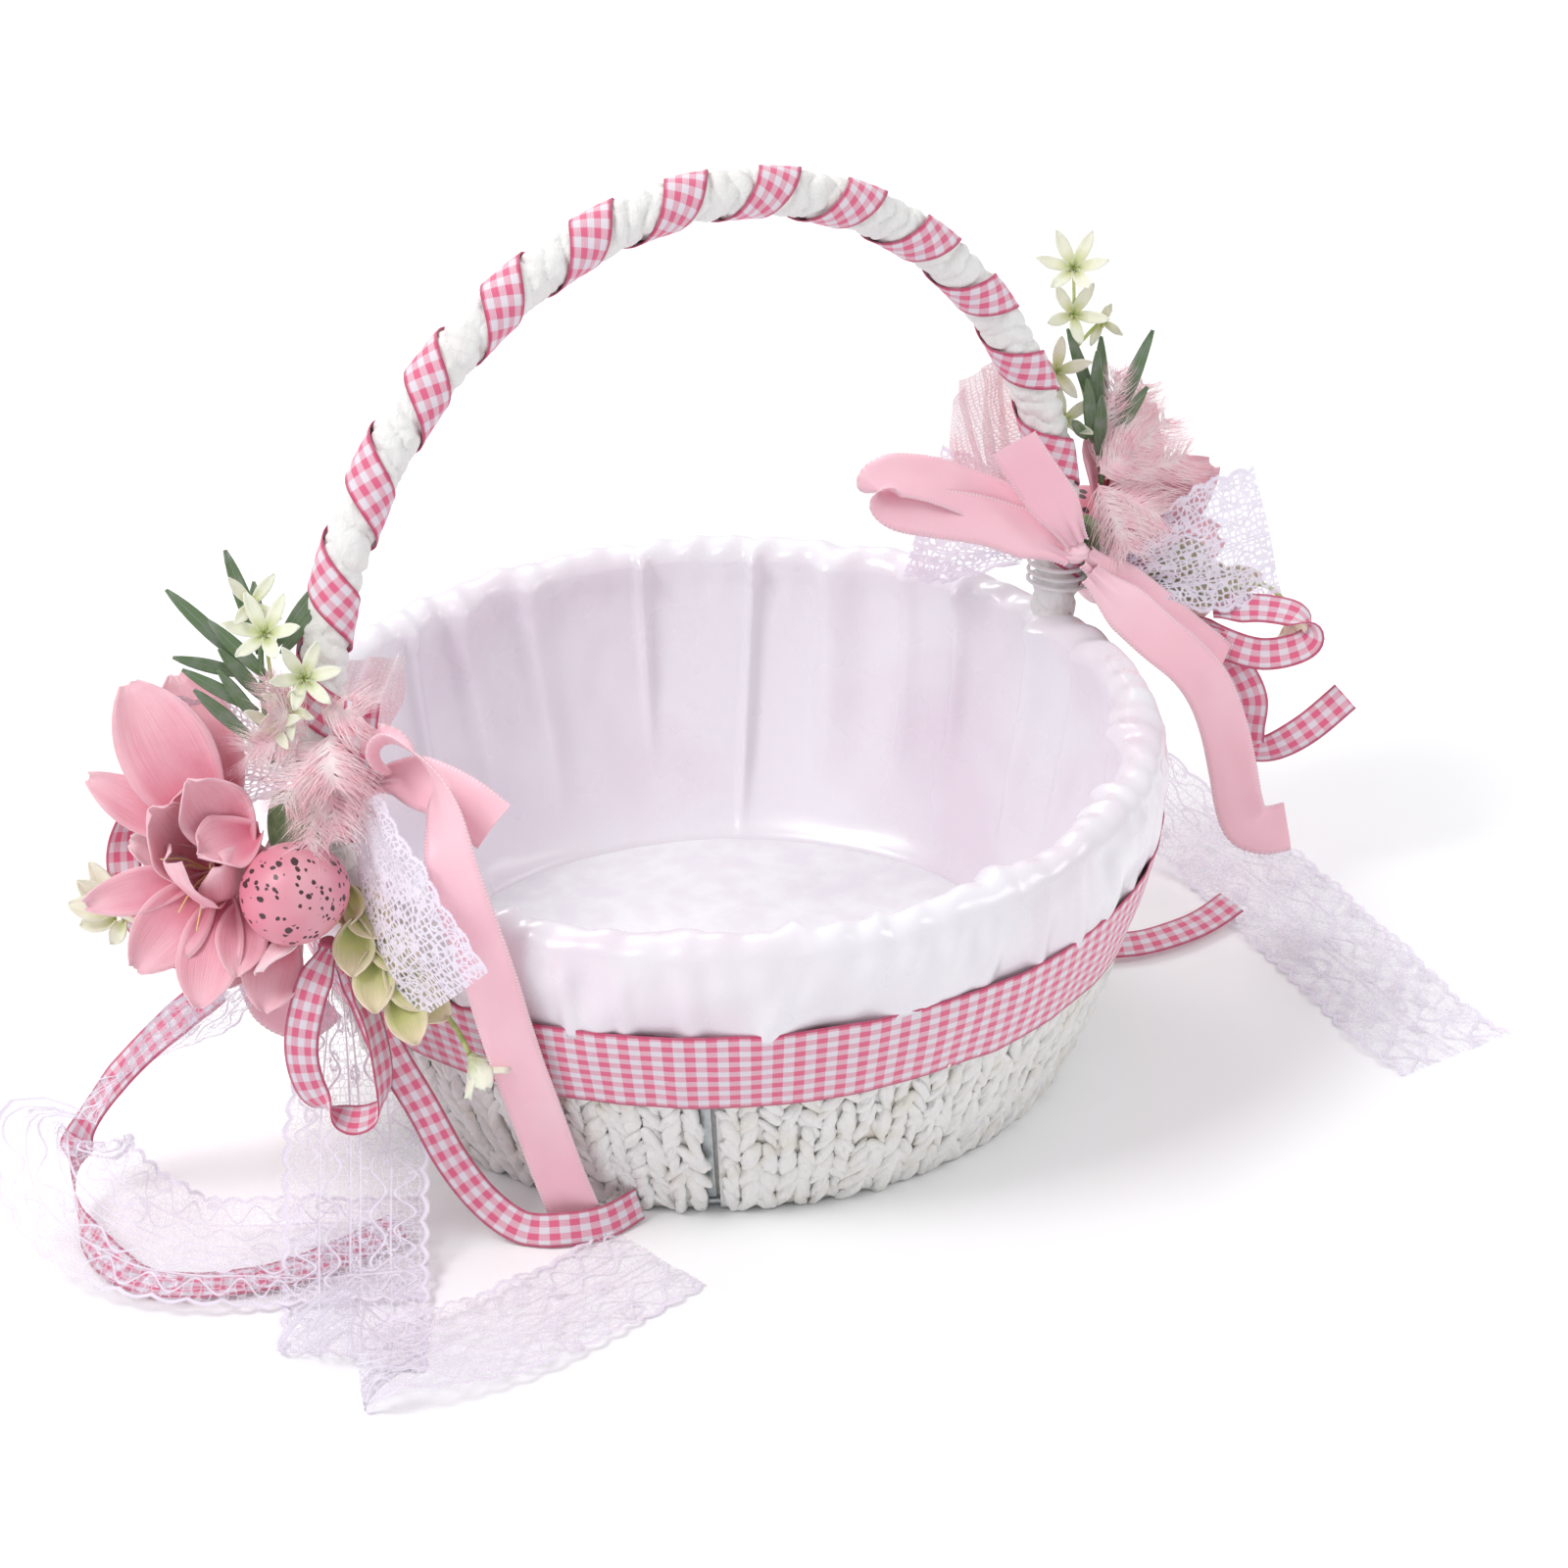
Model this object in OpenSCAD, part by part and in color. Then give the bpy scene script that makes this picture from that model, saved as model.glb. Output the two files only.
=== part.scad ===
// Flower girl basket: a round paper-rope basket with a satin liner, a gingham band,
// a wrapped hoop handle and a tied spray of silk flowers at each handle leg.
// Millimetres, +Z up. The origin is the centre of the flat base, on the surface it stands on.
// The handle runs over X and the sprays sit at -X (left) and +X (right).

/* [Basket wall] */
// Outer radius of the woven wall where it stands on the surface
base_r = 104; // [90:1:130]
// Outer radius of the woven wall at its top edge
rim_r = 133; // [118:1:160]
// Height of the woven wall
wall_h = 97; // [70:1:130]
// How far the wall bows out between base and rim
wall_bulge = 5.5; // [0:0.5:9]
// Thickness of the outer weave
outer_weave = 3.4; // [2.5:0.1:5]
// Thickness of the inner weave
inner_weave = 2.4; // [2:0.1:4]
// Gap between the two weaves, which holds the wire frame
frame_gap = 3; // [2.6:0.1:5]
// Radius of the rope border on the rim
border_r = 3.6; // [2.6:0.1:5]

/* [Base] */
// Thickness of the woven base
base_t = 5; // [3:0.5:8]
// Thickness of the card in the base
board_t = 2; // [1:0.5:3]
// Thickness of the wadding under the liner floor
pad_t = 6; // [3:0.5:12]
// Thickness of the liner floor
floor_t = 1; // [0.6:0.1:2]

/* [Wire frame] */
// Diameter of the wire in the hoops
wire_d = 2.2; // [1.4:0.1:2.6]
// Number of upright strips round the wall
upright_count = 24; // [12:2:36]
// Width of each upright strip
upright_w = 3; // [2:0.5:5]
// Thickness of each upright strip
upright_t = 1.4; // [0.8:0.1:2]

/* [Liner and band] */
// Thickness of the satin liner
satin_t = 1.2; // [0.8:0.1:2]
// How far the satin turns down over the outside of the wall
cuff_drop = 23; // [12:1:32]
// Width of the gingham band
band_w = 28; // [15:1:34]
// How far the band laps over the edge of the satin cuff
band_lap = 3; // [1:1:8]
// Thickness of the gingham band
band_t = 0.6; // [0.4:0.1:1]

/* [Handle] */
// How far the handle's curve swells out past its legs
handle_swell = 4.9; // [2:0.1:12]
// How far above the wall the handle's curve starts
leg_rise = 3.2; // [0:0.2:10]
// Lean of the handle towards the back, in degrees
handle_lean = 4.5; // [0:0.5:10]
// Width of the steel strip
strip_w = 10; // [7:0.5:12]
// Thickness of the steel strip
strip_t = 2.2; // [1.2:0.1:2.4]
// How far the strip runs down inside the wall
leg_depth = 60; // [35:1:80]
// Diameter of the paper wrapping
wrap_d = 14.6; // [13.4:0.1:18]
// Width of the gingham ribbon wound on the handle
winding_w = 12; // [8:0.5:14]
// Distance from one turn of that ribbon to the next
winding_pitch = 32; // [26:1:50]

/* [Sprays] */
// Length of the large magnolia petals
petal_len = 50; // [35:1:60]
// Width of the large magnolia petals
petal_w = 27; // [18:1:34]
// Diameter of the speckled egg
egg_d = 29; // [22:1:34]
// Width of the satin ribbon
satin_w = 15; // [10:1:20]
// Width of the narrow gingham ribbon
gingham_w = 10; // [6:1:12]
// Width of the lace ribbon
lace_w = 43; // [30:1:50]

/* [Hidden] */
$fn = 96;
clearance = 0.2;
sheet_t = 0.5;                      // thickness of a ribbon or a piece of lace
wall_t = outer_weave + frame_gap + inner_weave;
frame_in = outer_weave + frame_gap / 2;      // from the outer face to the middle of the gap
border_z = wall_h + border_r;                // centre height of the rope border
border_ring = rim_r - frame_in;              // radius at which the border runs
cuff_z = wall_h - cuff_drop;
band_z = cuff_z + band_lap - band_w;         // lower edge of the band
pad_z = base_t + board_t;
cover_z = pad_z + pad_t;
strip_x = wall_r(wall_h) - frame_in;         // where each leg enters the wall
leg_top = wall_h + leg_rise;                 // where each straight leg meets the curve
handle_r = strip_x + handle_swell;           // radius at the middle of the strip
handle_z = leg_top + sqrt(handle_r * handle_r - strip_x * strip_x);  // centre of the curve
end_angle = acos(strip_x / handle_r);        // how far each end curls below that centre
rim_top = border_z + border_r + clearance + satin_t;
wrap_lift = 1.2;                             // the wrap stops this far above the rim
wrap_angle = asin((handle_z - rim_top - wrap_lift) / handle_r);
slot_w = strip_w + 2 * clearance;
slot_t = strip_t + 2 * clearance;
drawn_x = 128.1;                    // the sprays and ribbons are drawn for legs this far out
drawn_h = 97;                       // and for a wall this high
out = strip_x - drawn_x;
up = wall_h / drawn_h;

// Outer radius of the wall at height z
function wall_r(z) =
    base_r + (rim_r - base_r) * z / wall_h + 4 * wall_bulge * z / wall_h * (1 - z / wall_h);

// Inner face of the satin at height z
function liner_in(z) = wall_r(z) - wall_t - clearance - satin_t;

function unit(v) = v / norm(v);

// Moves a point of a spray, or a row of a ribbon's route, to suit the basket's own size
function fit(p) = [for (k = [0 : len(p) - 1])
    k == 0 ? p[0] + sign(p[0]) * out : k == 2 ? p[2] * up : p[k]];
function fitted(route) = [for (p = route) fit(p)];

// Where the handle's curve runs at height z, seen from the front
function handle_x(z) = sqrt(handle_r * handle_r - (handle_z - z) * (handle_z - z));

// A point on the smooth curve through the rows of a route
function curve_at(p, i, t) =
    let (a = p[max(i - 1, 0)], b = p[i], c = p[i + 1], d = p[min(i + 2, len(p) - 1)])
    0.5 * (2 * b + (c - a) * t + (2 * a - 5 * b + 4 * c - d) * t * t
        + (3 * b - a - 3 * c + d) * t * t * t);
function curve(p, n) =
    [for (i = [0 : len(p) - 2]) for (k = [0 : n - 1]) curve_at(p, i, k / n), p[len(p) - 1]];

// Triangles that close a sweep made of rings that each have m points. The two broad
// sides are split along matching diagonals, so a twisted sheet keeps its thickness.
function sweep_faces(rings, m) = concat(
    [for (k = [1 : m - 2]) [1, 1 + k, (2 + k) % m]],
    [for (i = [0 : rings - 2]) for (k = [0 : m - 1])
        let (a = i * m + k, b = a + m, c = (i + 1) * m + (k + 1) % m, d = c - m)
        each k < m / 2 ? [[a, b, c], [a, c, d]] : [[a, b, d], [b, c, d]]],
    let (z = (rings - 1) * m) [for (k = [1 : m - 2]) [z + 1, z + (2 + k) % m, z + 1 + k]]);

// A flat ribbon. Each row of the route is a point and the direction across the ribbon there.
module ribbon(route, width, n = 3, t = sheet_t) {
    rows = curve(fitted(route), n);
    last = len(rows) - 1;
    pts = [for (i = [0 : last])
        let (p = [rows[i][0], rows[i][1], rows[i][2]],
             d = unit([rows[i][3], rows[i][4], rows[i][5]]),
             a = rows[max(i - 1, 0)], b = rows[min(i + 1, last)],
             along = unit([b[0] - a[0], b[1] - a[1], b[2] - a[2]]),
             across = d - (d * along) * along,
             w = d * width / 2 / max(0.6, norm(across)),
             up = unit(cross(along, across)) * t / 2)
        each [p - w - up, p + w - up, p + w + up, p - w + up]];
    polyhedron(pts, sweep_faces(last + 1, 4), convexity = 6);
}

// A pointed blade along +X: a leaf, petal or feather that curls up by bend degrees
module blade(length, width, bend = 20, cup = 0.1, t = 0.9, n = 6, tip = 0.5) {
    pts = [for (i = [0 : n])
        let (u = i / n,
             half = max(0.12, width / 2 * pow(sin(180 * pow(0.04 + 0.92 * u, tip + 0.35)), 0.8)),
             a = bend * u,
             x = bend == 0 ? length * u : length * sin(a) / (bend * PI / 180),
             z = bend == 0 ? 0 : length * (1 - cos(a)) / (bend * PI / 180),
             lift = 2 * half * cup,
             nx = -sin(a), nz = cos(a))
        each [[x + nx * lift, half, z + nz * lift], [x + nx * t / 2, 0, z + nz * t / 2],
              [x + nx * lift, -half, z + nz * lift], [x - nx * t / 2, 0, z - nz * t / 2]]];
    polyhedron(pts, sweep_faces(n + 1, 4), convexity = 4);
}

// Joins overlapping petals and leaves into one faceted shell
module joined() { resize([0, 0, 0]) children(); }

// Turns +X to a compass angle and an elevation, after a roll about itself
module aim(at, az, el, roll = 0) {
    translate(fit(at)) rotate([roll, -el, az]) children();
}

// A ring of equal blades that open by spread degrees from the axis +X, each lapped over the next
module whorl(count, spread, turn = 0, lap = 0) {
    for (i = [0 : count - 1])
        rotate([turn + 360 * i / count, 0, 0]) rotate([0, -spread, 0]) rotate([lap, 0, 0])
            children();
}

// A stalk along a route of points
module stalk(route, d) {
    rows = curve(fitted(route), 2);
    last = len(rows) - 1;
    pts = [for (i = [0 : last])
        let (a = rows[max(i - 1, 0)], b = rows[min(i + 1, last)],
             along = unit(b - a),
             s = unit(cross(along, abs(along.z) < 0.9 ? [0, 0, 1] : [1, 0, 0])),
             q = cross(along, s))
        for (k = [0 : 5]) rows[i] + d / 2 * (cos(60 * k) * s + sin(60 * k) * q)];
    polyhedron(pts, sweep_faces(last + 1, 6), convexity = 6);
}

// ---------------------------------------------------------------- basket
module wall_ring(inset, t, z0, z1, n = 10) {
    rotate_extrude()
        polygon(concat(
            [for (i = [0 : n]) let (z = z0 + (z1 - z0) * i / n) [wall_r(z) - inset, z]],
            [for (i = [n : -1 : 0]) let (z = z0 + (z1 - z0) * i / n) [wall_r(z) - inset - t, z]]));
}

module wall_weave_outer() color("white") wall_ring(0, outer_weave, 0, wall_h);

module wall_weave_inner() color("ivory") wall_ring(outer_weave + frame_gap, inner_weave, 0, wall_h);

module base_weave() color("ivory") cylinder(r = base_r - wall_t - 2 * clearance, h = base_t);

module base_board() color("tan")
    translate([0, 0, base_t]) cylinder(r = base_r - wall_t - 2 * clearance, h = board_t);

module floor_pad() color("whitesmoke")
    translate([0, 0, pad_z]) cylinder(r1 = liner_in(pad_z) - 2 * clearance,
        r2 = liner_in(cover_z) - 2 * clearance, h = pad_t);

module floor_cover() color("white")
    translate([0, 0, cover_z]) cylinder(r = liner_in(cover_z) - 2 * clearance, h = floor_t);

module hoop(r, z) {
    rotate_extrude() translate([r, z]) circle(d = wire_d, $fn = 24);
}

// Room for the two strip legs where they pass a ring at the rim
module leg_slots(t, w, z0, z1) {
    for (s = [-1, 1]) translate([s * strip_x - t / 2, -w / 2, z0]) cube([t, w, z1 - z0]);
}

module base_hoop() color("silver") hoop(wall_r(wire_d) - frame_in, wire_d);

// The rim hoop is in two halves that meet the edges of the handle strip
module rim_hoop() color("silver") difference() {
    hoop(border_ring, border_z);
    leg_slots(6, strip_w, border_z - wire_d, border_z + wire_d);
}

module uprights() color("lightgray")
    for (i = [0 : upright_count - 1])
        rotate([0, 0, 360 / upright_count * (i + 0.5)])
            translate([0, upright_w / 2, 0]) rotate([90, 0, 0]) linear_extrude(upright_w)
                polygon(concat(
                    [for (k = [0 : 6]) let (z = upright_z(k))
                        [wall_r(z) - frame_in + upright_t / 2, z]],
                    [for (k = [6 : -1 : 0]) let (z = upright_z(k))
                        [wall_r(z) - frame_in - upright_t / 2, z]]));
function upright_z(k) = 2 * wire_d + (wall_h - 2 * wire_d - 0.5) * k / 6;

module rim_border() color("white") difference() {
    rotate_extrude() translate([border_ring, border_z]) difference() {
        circle(r = border_r - 0.05, $fn = 36);
        circle(d = wire_d + clearance, $fn = 24);
    }
    leg_slots(slot_t + 0.6, slot_w, wall_h - 1, border_z + border_r + 1);
}

// The satin climbs the inside, rolls over the border and hangs down outside as a cuff
module satin_liner() color("lavenderblush") difference() {
    rotate_extrude() polygon(concat(
        [for (i = [0 : 10]) let (z = pad_z + (wall_h - pad_z) * i / 10)
            [liner_in(z), z]],
        [for (a = [170 : -20 : 10])
            [border_ring + (border_in) * cos(a), border_z + roll_r * sin(a)]],
        [for (i = [6 : -1 : 0]) let (z = cuff_z + cuff_drop * i / 6)
            [wall_r(z) + clearance + satin_t, z]],
        [for (i = [0 : 6]) let (z = cuff_z + cuff_drop * i / 6) [wall_r(z) + clearance, z]],
        [for (a = [10 : 20 : 170])
            [border_ring + (border_in - satin_t) * cos(a),
             border_z + (roll_r - satin_t) * sin(a)]],
        [for (i = [10 : -1 : 0]) let (z = pad_z + (wall_h - pad_z) * i / 10)
            [liner_in(z) + satin_t, z]]));
    leg_slots(slot_t + 1, slot_w, wall_h + 1, rim_top + 2);
}
border_in = wall_t / 2 + clearance + satin_t + 0.4;      // half the width of the roll
roll_r = border_r + clearance + satin_t;                 // its height over the border's centre

module band_ribbon() color("hotpink")
    rotate_extrude() polygon(concat(
        [for (i = [0 : 6]) [band_face(i / 6), band_z + band_w * i / 6]],
        [for (i = [6 : -1 : 0]) [band_face(i / 6) + band_t, band_z + band_w * i / 6]]));
// The band lies on the wall at its lower edge and on the cuff at its upper edge
function band_face(u) =
    wall_r(band_z + band_w * u) + clearance + (satin_t + clearance) * min(1, u * 1.6);

// ---------------------------------------------------------------- handle
// Places a shape drawn round the curve's centre, in the leaning plane of the handle
module handle_plane() {
    translate([0, 0, leg_top]) rotate([-handle_lean, 0, 0])
        translate([0, 0, handle_z - leg_top]) rotate([90, 0, 0]) children();
}

module handle_core() color("gray") {
    handle_plane() rotate([0, 0, -end_angle]) rotate_extrude(angle = 180 + 2 * end_angle, $fn = 180)
        translate([handle_r, 0]) square([strip_t, strip_w], center = true);
    for (s = [0, 1]) mirror([s, 0, 0])
        translate([0, strip_w / 2, 0]) rotate([90, 0, 0]) linear_extrude(strip_w)
            polygon(concat(
                [for (k = [0 : 6]) let (z = wall_h - leg_depth * (1 - k / 6))
                    [leg_x(z) + strip_t / 2, z]],
                [[strip_x + strip_t / 2, leg_top + 0.4], [strip_x - strip_t / 2, leg_top + 0.4]],
                [for (k = [6 : -1 : 0]) let (z = wall_h - leg_depth * (1 - k / 6))
                    [leg_x(z) - strip_t / 2, z]]));
}
function leg_x(z) = wall_r(z) - frame_in - 0.05 * (1 - z / wall_h);

module handle_wrap() color("snow")
    handle_plane() rotate([0, 0, -wrap_angle])
        rotate_extrude(angle = 180 + 2 * wrap_angle, $fn = 180)
            translate([handle_r, 0]) difference() {
                circle(d = wrap_d, $fn = 40);
                square([slot_t, slot_w], center = true);
            }

// Gingham ribbon wound on the handle as a flat helix
winding_r = wrap_d / 2 + 0.35;
winding_len = (180 + 2 * wrap_angle) * PI / 180 * handle_r;
winding_turns = floor(winding_len / winding_pitch * 2) / 2;
winding_steps = 12;                 // rings to each turn
winding_start = 155;
module handle_ribbon() color("hotpink") handle_plane() {
    rings = winding_turns * winding_steps;
    half = winding_w / 2;
    pts = [for (i = [0 : rings])
        let (s = half + 2 + (winding_len - 2 * half - 4) * i / rings,
             turn = winding_start - 360 * i / winding_steps,
             slope = atan2(2 * PI * winding_r, winding_pitch))
        for (corner = [[-1, 1], [0, 1], [1, 1], [1, 0], [0, 0], [-1, 0]])
            wound_at(s + corner[0] * half * sin(slope),
                turn + corner[0] * half * cos(slope) / winding_r * 180 / PI,
                winding_r + corner[1] * 0.5)];
    polyhedron(pts, sweep_faces(rings + 1, 6), convexity = 10);
}
// A point at length s along the handle from the left leg, turned round it, at radius r
function wound_at(s, turn, r) =
    let (a = 180 + wrap_angle - s / handle_r * 180 / PI)
    [(handle_r + r * cos(turn)) * cos(a), (handle_r + r * cos(turn)) * sin(a), r * sin(turn)];

// ---------------------------------------------------------------- sprays
wire_t = 1.2;                       // thickness of the tie wire
wire_lift = 8;                      // lowest turn of the tie wire above the rim
module tie_wire(s) color("darkseagreen")
    for (k = [0 : 2]) let (z = rim_top + wire_lift + 2.5 * wire_t * k)
        translate([s * handle_x(z), (z - leg_top) * sin(handle_lean), z])
            rotate([0, s * asin((handle_z - z) / handle_r), 0]) rotate_extrude()
                translate([wrap_d / 2 + 1 + wire_t / 2, 0]) circle(d = wire_t, $fn = 16);

pad_r = 13;                         // the pad behind each spray
pad_deep = 4;
module spray_pad(s) color("seagreen")
    translate(fit([s * 143, 0, 118])) rotate([0, s * 82, 0]) cylinder(r = pad_r, h = pad_deep);

module magnolia_outer(at, az, el) color("palevioletred") joined()
    aim(at, az, el) {
        sphere(d = 12, $fn = 12);
        whorl(6, 58, 12, 17) translate([3, 0, 0])
            blade(petal_len, petal_w, bend = -28, cup = 0.12, t = 1.1, tip = 0.95);
    }

module magnolia_inner(at, az, el) color("hotpink") joined()
    aim(at, az, el) {
        translate([7, 0, 0]) sphere(d = 9, $fn = 12);
        whorl(5, 30, 40, 19) translate([7, 0, 0])
            blade(petal_len * 0.72, petal_w * 0.8, bend = -34, cup = 0.12, t = 1.1, tip = 0.95);
    }

module magnolia_stamens(at, az, el) color("khaki") joined()
    aim(at, az, el) {
        whorl(8, 14) translate([5, 0, 0]) blade(27, 1.2, bend = 16, cup = 0, t = 1.2, n = 2);
        translate([2, 0, 0]) sphere(d = 8, $fn = 12);
    }

module blossom(at, az, el) color("pink") joined()
    aim(at, az, el) {
        whorl(6, 62) translate([3, 0, 0])
            blade(petal_len * 0.72, petal_w * 0.74, bend = -24, cup = 0.14, t = 1, n = 5);
        sphere(d = 9, $fn = 12);
    }

module egg(at, az, el) color("lightcoral")
    aim(at, az, el) rotate([0, 90, 0]) rotate_extrude() polygon(
        [for (a = [-90 : 9 : 90]) [max(0, egg_d / 2 * cos(a) * (1 - 0.05 * sin(a))),
                                   egg_d * 0.54 * sin(a)]]);

// A small flower of equal petals round a seed
module floret(count, spread, length, width, turn = 0) {
    sphere(d = 5, $fn = 6);
    whorl(count, spread, turn) translate([2, 0, 0])
        blade(length, width, bend = -24, cup = 0.12, n = 3, tip = 0.7);
}

// A straight stem along +X
module stem(length, d) { rotate([0, 90, 0]) cylinder(d = d, h = length, $fn = 6); }

// Each leaf row is [distance along the stem, side angle, opening, length]
module leafy(at, az, el, stem, leaves, width, bend) {
    joined() aim(at, az, el) {
        stem(stem, 1.8);
        for (leaf = leaves) translate([leaf[0], 0, 0])
            rotate([leaf[1], 0, 0]) rotate([0, -leaf[2], 0])
                blade(leaf[3], width, bend = bend, cup = 0.1, t = 0.9, n = 4);
    }
}
rosemary_leaves = [[6, 20, 52, 27], [12, 110, 50, 28], [18, 200, 50, 26], [24, 290, 46, 27],
    [28, 65, 40, 26], [32, 245, 36, 24]];
module rosemary(at, az, el) color("darkolivegreen")
    leafy(at, az, el, 37, rosemary_leaves, 5, -18);

star_heads = [[16, 100, 40], [26, 230, 34], [36, 340, 30], [40, 120, 8]];
module star_flowers(at, az, el) color("palegoldenrod") joined()
    aim(at, az, el) {
        stem(40, 1.6);
        for (head = star_heads) translate([head[0], 0, 0])
            rotate([head[1], 0, 0]) rotate([0, -head[2], 0]) {
                stem(10, 1.2);
                translate([9, 0, 0]) floret(5, 58, 11, 4.4);
            }
    }

module hop_sprig(at, az, el) color("yellowgreen") joined()
    aim(at, az, el) {
        stem(44, 1.8);
        for (i = [0 : 9]) translate([3 + 4 * i, 0, 0])
            rotate([137 * i, 0, 0]) rotate([0, -46 + 2 * i, 0])
                blade(18 - 0.6 * i, 11, bend = -52, cup = 0.2, n = 4);
    }

// A small open flower that hangs on a thin stem
module hanging_blossom(route, az, el) color("wheat") joined() {
    stalk(route, 1.6);
    aim(route[len(route) - 1], az, el) floret(4, 40, 14, 8);
}

module bud_sprig(route) color("khaki") joined() {
    stalk(route, 1.6);
    for (i = [1 : len(route) - 1]) aim(route[i], 150 + 70 * i, 25)
        floret(3, 36, 11, 5.5, 50 * i);
}

// Each feather row is [compass angle, elevation, roll, length]
module feathers(at, plumes) color("pink") joined()
    for (plume = plumes) aim(at, plume[0], plume[1], plume[2]) translate([3, 0, 0])
        blade(plume[3], 15, bend = 30, cup = 0.05, t = 0.8, n = 3);

module tulle(at, az, el, roll) color("mistyrose")
    aim(at, az, el, roll) blade(50, 44, bend = 24, cup = 0.05, t = 0.8, n = 8);

module knot(at) { translate(fit(at)) sphere(d = 7, $fn = 24); }

// Ribbon routes: a point and the direction across the ribbon, chosen by hand
left_knot = [-130, -14, 134];
right_knot = [127, -14, 130];
left_tie = [-151, -24, 95];
right_tie = [163, -20, 100];
left_satin_long = [
    [-130, -14, 134, 0.6, -0.6, 0.5], [-130, -20, 147, 0.2, -0.8, 0.5],
    [-128, -30, 154, -0.3, -0.8, 0.5], [-126, -43, 151, -0.5, -0.7, 0.5],
    [-128, -52, 141, 0.2, -0.9, 0.4], [-131, -60, 129, 0.6, -0.7, 0.2],
    [-130, -66, 114, 0.8, -0.6, 0], [-126, -69, 95, 0.8, -0.6, 0],
    [-120, -69, 70, 0.8, -0.6, 0], [-113, -68, 47, 0.8, -0.6, 0],
    [-105, -66, 22, 0.8, -0.6, 0], [-99, -67, 2, 0.8, -0.6, 0]];
left_satin_short = [
    [-129, -16, 136, 0.2, 0.3, 0.9], [-125, -23, 139, 0.3, 0.3, 0.9],
    [-121, -34, 140, 0.4, 0.2, 0.9], [-117, -46, 138, 0.5, 0.2, 0.8],
    [-114, -56, 134, 0.6, 0.2, 0.8]];
left_satin_back = [
    [-134, 14, 122, 0.8, 0.3, 0], [-143, 20, 100, 0.8, 0.3, 0.2],
    [-150, 22, 76, 0.6, 0.3, 0.5], [-148, 18, 58, 0.3, 0.3, 0.8],
    [-141, 12, 52, 0.1, 0.3, 0.9], [-134, 10, 56, 0.1, 0.3, 0.9]];
left_lace_fold = [
    [-135, -22, 131, -0.06, -0.7, 0.7], [-135, -36, 116, -0.06, -0.7, 0.7],
    [-132, -50, 101, -0.06, -0.7, 0.7], [-127, -60, 88, -0.06, -0.7, 0.7]];
left_lace_back = [
    [-136, 18, 128, 0.3, -0.3, 0.9], [-147, 26, 131, 0.3, -0.3, 0.9],
    [-158, 32, 134, 0.3, -0.3, 0.9], [-168, 36, 136, 0.3, -0.3, 0.9]];
left_lace_far = [
    [-152, -1, 86, 0.75, 0.2, -0.6], [-166, 8, 70, 0.8, 0.2, -0.5], [-182, 18, 54, 0.85, 0.3, -0.3],
    [-197, 27, 43, 0.75, 0.6, 0], [-209, 30, 35, 0.6, 0.5, 0.2], [-216, 25, 29, 0.7, 0.2, 0.4],
    [-219, 13, 23, 0.75, 0, 0.45], [-216, 0, 18, 0.8, 0.25, 0.4], [-208, -12, 13, 0.7, 0.5, 0.3],
    [-197, -22, 9.5, 0.5, 0.75, 0.25], [-180, -32, 8, 0.5, 0.8, 0.25],
    [-162, -43, 7, 0.5, 0.8, 0.22], [-143, -54, 6, 0.5, 0.8, 0.2]];
left_lace_near = [
    [-141, -12, 88, 0.8, -0.5, 0.1], [-143, -18, 66, 0.8, -0.5, 0.1],
    [-148, -27, 42, 0.8, -0.55, 0.1], [-155, -36, 20, 0.8, -0.56, 0],
    [-163, -47, 7, 0.8, -0.55, 0], [-170, -58, 2, 0.75, -0.6, 0], [-178, -70, 1, 0.6, -0.8, 0],
    [-186, -82, 1.5, 0.4, -0.92, 0], [-190, -88, 4.5, 0.3, -0.95, 0], [-185, -93, 7, 0.3, -0.95, 0],
    [-172, -98, 6, 0.2, -0.98, 0], [-150, -101, 4, 0.2, -0.98, 0], [-122, -98, 1.5, 0.25, -0.97, 0],
    [-90, -93, 1, 0.3, -0.95, 0]];
left_gingham_loop = [
    [-152, -26, 95, 0.8, -0.5, 0.2], [-160, -27, 83, 0.7, -0.5, 0.3],
    [-163, -25, 65, 0.6, -0.6, 0.2], [-160, -26, 49, 0.5, -0.7, 0],
    [-153, -33, 42, -0.4, -0.8, -0.4], [-147, -40, 47, -0.7, -0.6, -0.3],
    [-146, -41, 60, -0.8, -0.4, 0], [-147, -38, 76, -0.8, -0.5, 0],
    [-149, -31, 90, -0.8, -0.5, 0]];
left_gingham_near = [
    [-150, -28, 92, 0.8, -0.5, 0.2], [-146, -32, 82, 0.8, -0.5, 0.2],
    [-142, -37, 64, 0.85, -0.5, 0.2], [-135, -43, 44, 0.85, -0.5, 0.2],
    [-129, -48, 26, 0.85, -0.4, 0.2], [-122, -54, 12, 0.8, -0.4, 0.3],
    [-115, -62, 5, 0.7, -0.3, 0.6], [-106, -70, 5, 0.4, 0.2, 0.8],
    [-94, -74, 5, 0.2, 0.3, 0.9], [-82, -73, 6, 0.2, 0.3, 0.9]];
left_gingham_far = [
    [-168, 12, 71, 0.6, -0.1, 0.7], [-182, 20, 58, 0.5, 0, 0.8], [-194, 30, 41, 0.4, 0.2, 0.8],
    [-203, 38, 22, 0.3, 0.3, 0.8], [-210, 32, 12, 0.2, 0.4, 0.7], [-216, 14, 5, 0.2, 0.7, 0.4],
    [-216, -10, 3, 0.4, 0.9, 0.2], [-206, -25, 3, 0.4, 0.9, 0.2], [-184, -36, 3, 0.2, 0.9, 0.2],
    [-164, -39, 4, 0, 0.9, 0.2], [-142, -38, 5, 0, 0.9, 0.2]];
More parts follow.
